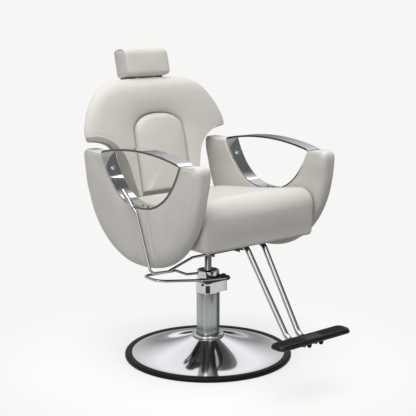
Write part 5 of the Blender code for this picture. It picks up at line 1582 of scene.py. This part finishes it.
for side, word in SIDES:
    furrow(back_cover, under_wing(side, 0.009), 0.0022, 0.0011)
    fit(stitches("wing_stitch_" + word, under_wing(side, 0.0135)), "back", "leather", THREAD)
fit(back_cover, "back", "leather", LEATHER, "back_cushion")
print("back swell", round(swell * 1000, 1), "mm, faces", len(back_cover.data.polygons))

# %% [markdown]
# ## Panel and rear cover
# The panel is a plump arch that fills the pocket, and the rear of the back is closed by a shallow
# crowned cover. Both are rings drawn in from an outline towards the middle. A welt hides the joint
# between the rear cover and the cushion.

# %% Panel
PANEL_WALL = 0.014
PANEL_ROLL = 0.020
PANEL_FULL = 0.008
PANEL_CROWN = 0.0055
PANEL_WAIST = 0.12

arch_half = arch(0.0)
arch_half[0] = (PANEL_HALF + 0.002, PANEL_BOTTOM)
arch_line = both_halves(arch_half)
panel_outline = along(np.concatenate([arch_line, arch_line[:1]]), np.linspace(0.0, 1.0, 153))[:-1]
foot_corner = ramp(np.abs(panel_outline[:, 0]), PANEL_HALF - 0.012, PANEL_HALF)
low_edge = panel_outline[:, 1] < PANEL_BOTTOM + 0.002
panel_outline[low_edge, 1] += 0.006 * foot_corner[low_edge] ** 2
panel_middle = np.array((0.0, 0.135))
foot_line = np.stack([panel_outline[:, 0] * 0.97, np.full(len(panel_outline), -0.021)], axis=1)
panel_root = np.where(low_edge[:, None], foot_line, panel_outline)


def panel_drawn(outline, draw):
    """The panel's outline drawn in: fully at the sides and arch, little along the foot."""
    up = ramp(outline[:, 1], PANEL_WAIST, PANEL_TOP)
    down = ramp(outline[:, 1], PANEL_WAIST, PANEL_BOTTOM)
    return np.stack([outline[:, 0] * (1.0 - draw / PANEL_HALF),
                     outline[:, 1] - draw * (up - 0.22 * down)], axis=1)


rings = [(panel_drawn(panel_root, 0.006), PANEL_DEPTH), (panel_root, PANEL_DEPTH), (panel_root, 0.024),
         (panel_outline, PANEL_WALL)]
for turn in np.linspace(0.0, math.pi / 2, 8)[1:]:
    rings.append((panel_drawn(panel_outline, PANEL_ROLL * (1 - math.cos(turn))),
                  PANEL_WALL - (PANEL_WALL + PANEL_FULL) * math.sin(turn)))
last = rings[-1][0]
for share in (0.92, 0.82, 0.7, 0.57, 0.43, 0.28, 0.12):
    rings.append((panel_middle + (last - panel_middle) * share,
                  -PANEL_FULL - PANEL_CROWN * (1 - share ** 2)))
rings = [on_back(outline, np.full(len(outline), level)) for outline, level in rings]
panel = skin_piece("arched_panel", *ring_skin(rings), sharp=60.0)
places, deep = off_back(coordinates(panel))
swell = blow_up(panel, ramp(deep, 0.004, 0.014), 3.0, 0.004)
finer(panel)
fit(panel, "back", "leather", LEATHER, "lumbar_panel")
print("panel swell", round(swell * 1000, 1), "mm")

# %% [markdown]
# The rear cover is thin and stretched over a board, so it is crowned by its rings and not blown up.

# %% Rear cover and welt
COVER_FRONT = 0.0870
COVER_REAR = BACK_THICK + GAP + 0.018
COVER_CROWN = 0.0035
WELT_DEPTH = 0.0836

rear_whole = both_halves(rear_half)
cover_line = thinned(rear_whole, REAR_ROUND + 0.002)
cover_line = along(np.concatenate([cover_line, cover_line[:1]]), np.linspace(0.0, 1.0, 181))[:-1]
out = cover_line - BACK_MIDDLE
rings = [(BACK_MIDDLE + out * share, COVER_FRONT) for share in (0.2, 0.6)]
for draw, level in ((0.006, COVER_FRONT), (0.001, COVER_FRONT + 0.0006), (0.0, COVER_FRONT + 0.003),
                    (0.002, COVER_REAR - 0.005), (0.007, COVER_REAR - 0.0025), (0.016, COVER_REAR - 0.001)):
    rings.append((BACK_MIDDLE + out * (1.0 - draw / np.linalg.norm(out, axis=1))[:, None], level))
last = rings[-1][0]
for share in (0.82, 0.62, 0.42, 0.2, 0.08):
    rings.append((BACK_MIDDLE + (last - BACK_MIDDLE) * share,
                  COVER_REAR - 0.001 + COVER_CROWN * (1 - share ** 2)))
rings = [on_back(outline, np.full(len(outline), level)) for outline, level in rings]
rear_cover = finer(skin_piece("back_cover_rear", *ring_skin(rings), sharp=60.0))
fit(rear_cover, "back", "leather", LEATHER, "back_cover")
rear_edge = along(thinned(rear_whole, REAR_ROUND - 0.001), np.linspace(0.005, 0.995, 160))
cord = tube("rear_welt", [back_place(u, WELT_DEPTH, v) for u, v in rear_edge], 0.0034, 12)
fit(cord, "back", "leather", PIPING_WITH_HIGHLIGHT)
print("rear cover faces", len(rear_cover.data.polygons))

# %% [markdown]
# ## Headrest
# A bolster with a squarish section, rounder at its front top edge: one long cover and two end
# panels, joined by piping.

# %% Headrest
REST_HALF = 0.0958
REST_GAP = 0.0025
REST_HEIGHT = 0.109
REST_DEPTH = 0.078
REST_CROWN = 0.003
POST_DEPTH = 0.042
REST_BEHIND = 0.0075

corners = [(REST_DEPTH / 2, -REST_HEIGHT / 2), (REST_DEPTH / 2, REST_HEIGHT / 2),
           (-REST_DEPTH / 2, REST_HEIGHT / 2), (-REST_DEPTH / 2, -REST_HEIGHT / 2)]
section = round_profile(corners, (0.013, 0.019, 0.034, 0.016), 96)
rest_middle = BACK_HEIGHT + REST_GAP + REST_CROWN + REST_HEIGHT / 2


def rest_ring(x, draw):
    """One ring of the bolster, drawn in by an amount."""
    depth = POST_DEPTH + REST_BEHIND
    return [back_place(x, depth + d, rest_middle + h)[:] for d, h in drawn(section, draw)]


end_roll = [(-0.0026, 0.034), (-0.0026, 0.028), (-0.0022, 0.020), (-0.0012, 0.0135), (0.0006, 0.0100),
            (0.0022, 0.0078), (0.0040, 0.0052), (0.0062, 0.0030), (0.0092, 0.0012), (0.0135, 0.0003),
            (0.0190, 0.0)]
rings = [rest_ring(-REST_HALF + x, draw) for x, draw in end_roll]
for x in np.linspace(-0.070, 0.070, 21):
    rings.append(rest_ring(x, -REST_CROWN * 0.6 * (1 - (x / REST_HALF) ** 2)))
rings += [rest_ring(REST_HALF - x, draw) for x, draw in end_roll[::-1]]
bolster = skin_piece("headrest_bolster", *ring_skin(rings), sharp=60.0)
near_end = ramp(np.abs(coordinates(bolster)[:, 0]), REST_HALF - 0.014, REST_HALF - 0.006)
swell = blow_up(bolster, near_end, 3.0, 0.003)
finer(bolster)
fit(bolster, "headrest", "leather", LEATHER, "headrest_cushion")
for side, word in SIDES:
    ring = rest_ring(side * (REST_HALF - 0.0026), 0.0058)
    cord = tube("headrest_welt_" + word, ring + ring[:2], 0.0027, 10, 0.0)
    fit(cord, "headrest", "leather", PIPING_WITH_HIGHLIGHT)
print("headrest swell", round(swell * 1000, 1), "mm")

# %% [markdown]
# A thin black plate under the bolster is painted shade for the gap below it. Two chrome posts carry
# the bolster and slide in ferrules let into the top of the back.

# %% Headrest posts
POST_HALF = 0.040
POST_BOTTOM = 0.303
PLATE_HALF = 0.084
PLATE_FRONT = 0.0495
PLATE_MIDDLE = 0.068
PLATE_REAR = 0.086

plan = rounded([(-PLATE_HALF, PLATE_FRONT), (PLATE_HALF, PLATE_FRONT),
                (PLATE_HALF, PLATE_REAR), (-PLATE_HALF, PLATE_REAR)], 0.006)
rings = [[back_place(u * s, PLATE_MIDDLE + (d - PLATE_MIDDLE) * s, v)[:] for u, d in plan]
         for s, v in ((0.985, 0.4313), (1.0, 0.4320), (1.0, 0.4375))]
# The black plate is painted shade in the gap under the bolster.
fit(skin_piece("headrest_shade_plate", *ring_skin(rings)), "headrest", "black_steel", BLACK_PLASTIC_AND_SHADE)
head_bottom = BACK_HEIGHT + REST_GAP
post_heights = (POST_BOTTOM, POST_BOTTOM + 0.01, head_bottom, head_bottom + REST_HEIGHT * 0.5)
low = POST_BOTTOM - 0.004
lip = BACK_HEIGHT - 0.0058 - low
ferrule = [(0.0, 0.0), (0.0098, 0.0), (0.010, 0.0003), (0.010, lip - 0.0004), (0.0096, lip), (0.0070, lip),
           (0.0065, lip - 0.0006), (0.0065, 0.003), (0.0, 0.003)]
for side, word in SIDES:
    u = side * POST_HALF
    post = tube("post_" + word, [back_place(u, POST_DEPTH, v) for v in post_heights], 0.006, 28)
    fit(post, "headrest", "chrome", CHROME, "headrest_post_" + word)
    bush = placed(lathe("ferrule_" + word, ferrule, 40), back_up, back_place(u, POST_DEPTH, low))
    fit(bush, "back", "black_steel", BLACK_PAINT_AND_SHADE, "headrest_ferrule_" + word)
print("posts from", POST_BOTTOM, "up the back")

# %% [markdown]
# ## Frame parts kept from the model
# Rails, brackets, hinge and gas spring keep their solids. They only need their finishes, black
# paint for most. All but the bush, the seal and the pump's foot also get broken edges, so that
# light runs along them.

# %% Kept frame parts
kept_finish = {"rod_guide_bush": BRONZE, "rod_seal": RUBBER, "seat_board": PLY, "gas_spring_rod": CHROME,
               "release_block": GROUND_STEEL_AND_REFLECTION, "hinge_shaft": GROUND_STEEL_AND_REFLECTION, "release_pin": GROUND_STEEL_AND_REFLECTION}
broken = 0
for name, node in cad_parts.items():
    if node.hide_render:
        continue
    node.data.materials.clear()
    node.data.materials.append(kept_finish.get(name, BLACK_PAINT_AND_SHADE))
    if name not in ("rod_seal", "rod_guide_bush", "pump_foot"):
        broken_edges(node, 0.0006, 2, 40.0)
        broken += 1
print("kept nodes with broken edges", broken)

# %% [markdown]
# ## Floor
# The photograph is a studio shot on a pale floor that fades into the backdrop. Near the chair the
# floor is partly lit, so it takes a soft shadow; farther out the camera and chrome see it glow with
# the backdrop's own colour. Chrome also sees a dark side of it, on the left of the sitter. Light
# that bounces off the floor onto the chair is kept low.

# %% Floor
PALE = (0.925, 0.925, 0.912)
FLOOR_HALF = 9.0
FLOOR_Z = -0.0004

corners = [(x * FLOOR_HALF, y * FLOOR_HALF, FLOOR_Z) for x, y in ((-1, -1), (1, -1), (1, 1), (-1, 1))]
plate = skin_piece("studio_floor", corners, [(0, 1, 2, 3)])
floor = bpy.data.materials.new("pale_floor")
floor.use_nodes = True
tree = floor.node_tree
tree.nodes.clear()
where = object_place(tree)
far = add_node(tree, 'ShaderNodeVectorMath', [(0, where)], operation='LENGTH').outputs['Value']
way = add_node(tree, 'ShaderNodeVectorMath', [(0, where)], operation='NORMALIZE').outputs[0]
leftward = add_node(tree, 'ShaderNodeVectorMath', [(0, way)], operation='DOT_PRODUCT')
leftward.inputs[1].default_value = (1.0, 0.0, 0.0)
fade = map_range(tree, far, (0.25, 0.90), (0.62, 1.0), 'SMOOTHSTEP')
dark = map_range(tree, leftward.outputs['Value'], (0.62, 0.92), (0.0, 0.80), 'SMOOTHSTEP')
rays = tree.nodes.new('ShaderNodeLightPath').outputs
seen = math_node(tree, 'MAXIMUM', rays['Is Camera Ray'],
                 math_node(tree, 'MAXIMUM', rays['Is Glossy Ray'], rays['Is Transmission Ray']))
tint = mix_colours(tree, seen, (0.28, 0.28, 0.28), (0.95, 0.95, 0.94))
ground = add_node(tree, 'ShaderNodeBsdfDiffuse', [("Color", tint)])
bright = add_node(tree, 'ShaderNodeEmission', Color=(*PALE, 1.0))
dark_side = add_node(tree, 'ShaderNodeEmission', Color=(0.03, 0.03, 0.032, 1.0))


def mix_shaders(tree, factor, one, two):
    """Mix two shaders by a value."""
    return add_node(tree, 'ShaderNodeMixShader', [(0, factor), (1, one.outputs[0]), (2, two.outputs[0])])


shown = mix_shaders(tree, math_node(tree, 'MULTIPLY', fade, seen), ground, bright)
shown = mix_shaders(tree, math_node(tree, 'MULTIPLY', dark, rays['Is Glossy Ray']), shown, dark_side)
add_node(tree, 'ShaderNodeOutputMaterial', [("Surface", shown.outputs[0])])
plate.data.materials.append(floor)
print("floor half width", FLOOR_HALF)

# %% [markdown]
# ## Backdrop
# The camera sees an even near-white backdrop. Chrome sees a grey sky that is dim at the horizon,
# brightest a third of the way up and darker again overhead, with one dark flag in it, so that it
# has something to show. Everything else gets a grey fill that grows towards the top.

# %% Backdrop
world = bpy.data.worlds.new("studio")
bpy.context.scene.world = world
world.use_nodes = True
tree = world.node_tree
tree.nodes.clear()
look = tree.nodes.new('ShaderNodeTexCoord').outputs['Generated']
upward = add_node(tree, 'ShaderNodeSeparateXYZ', [(0, look)]).outputs[2]


def sky_ramp(stops):
    """Greys by how far a ray looks up."""
    ramp_node = tree.nodes.new('ShaderNodeValToRGB')
    while len(ramp_node.color_ramp.elements) < len(stops):
        ramp_node.color_ramp.elements.new(0.5)
    for element, (position, value) in zip(ramp_node.color_ramp.elements, stops):
        element.position = position
        element.color = (value, value, value * 1.01, 1.0)
    tree.links.new(upward, ramp_node.inputs[0])
    return ramp_node.outputs[0]


toward = add_node(tree, 'ShaderNodeVectorMath', [(0, look)], operation='DOT_PRODUCT')
toward.inputs[1].default_value = (0.63, -0.40, 0.67)
flag = map_range(tree, toward.outputs['Value'], (0.76, 0.93), (1.0, 0.20), 'SMOOTHSTEP')
rays = tree.nodes.new('ShaderNodeLightPath').outputs
mirrored = math_node(tree, 'MAXIMUM', rays['Is Glossy Ray'], rays['Is Transmission Ray'])
fill_greys = sky_ramp([(0.0, 0.12), (0.3, 0.38), (0.7, 0.60), (1.0, 0.86)])
chrome_greys = sky_ramp([(0.0, 0.34), (0.12, 0.26), (0.30, 0.56), (0.52, 0.98), (0.78, 0.86), (1.0, 0.6)])
fill = add_node(tree, 'ShaderNodeBackground', [("Color", fill_greys)], Strength=1.0)
studio = add_node(tree, 'ShaderNodeBackground', [("Color", chrome_greys), ("Strength", flag)])
backdrop = add_node(tree, 'ShaderNodeBackground', Color=(*PALE, 1.0), Strength=1.0)
shown = mix_shaders(tree, mirrored, fill, studio)
shown = mix_shaders(tree, rays['Is Camera Ray'], shown, backdrop)
add_node(tree, 'ShaderNodeOutputWorld', [("Surface", shown.outputs[0])])
print("world", world.name)

# %% [markdown]
# ## Lights
# A broad light hangs high overhead and a weaker one stands on the right of the sitter. Two small
# cards high on the sitter's left, one behind and one ahead, lay bright patches on the straps.

# %% Lights


def soft_box(name, place, target, size, power):
    """A rectangular studio light that looks at a target."""
    lamp = bpy.data.lights.new(name, 'AREA')
    lamp.shape = 'RECTANGLE'
    lamp.size, lamp.size_y = size
    lamp.energy = power
    light = bpy.data.objects.new(name, lamp)
    light.location = place
    light.rotation_euler = (Vector(target) - Vector(place)).to_track_quat('-Z', 'Y').to_euler()
    bpy.context.scene.collection.objects.link(light)


soft_box("overhead", (-0.74, -0.57, 4.4), (0.0, 0.0, 0.55), (4.26, 4.26), 166.0)
soft_box("left_box", (-2.3, -1.15, 1.3), (0.0, 0.0, 0.6), (1.1, 1.7), 14.5)
soft_box("rear_card", (1.27, 1.05, 2.30), (-0.28, -0.05, 0.74), (1.1, 0.8), 3.4)
soft_box("right_card", (1.35, -0.55, 2.45), (-0.28, 0.15, 0.66), (0.55, 0.35), 2.2)

# %% [markdown]
# ## View
# Colours are shown as they are written, so the view transform is Standard.

# %% View
bpy.context.scene.view_settings.view_transform = 'Standard'
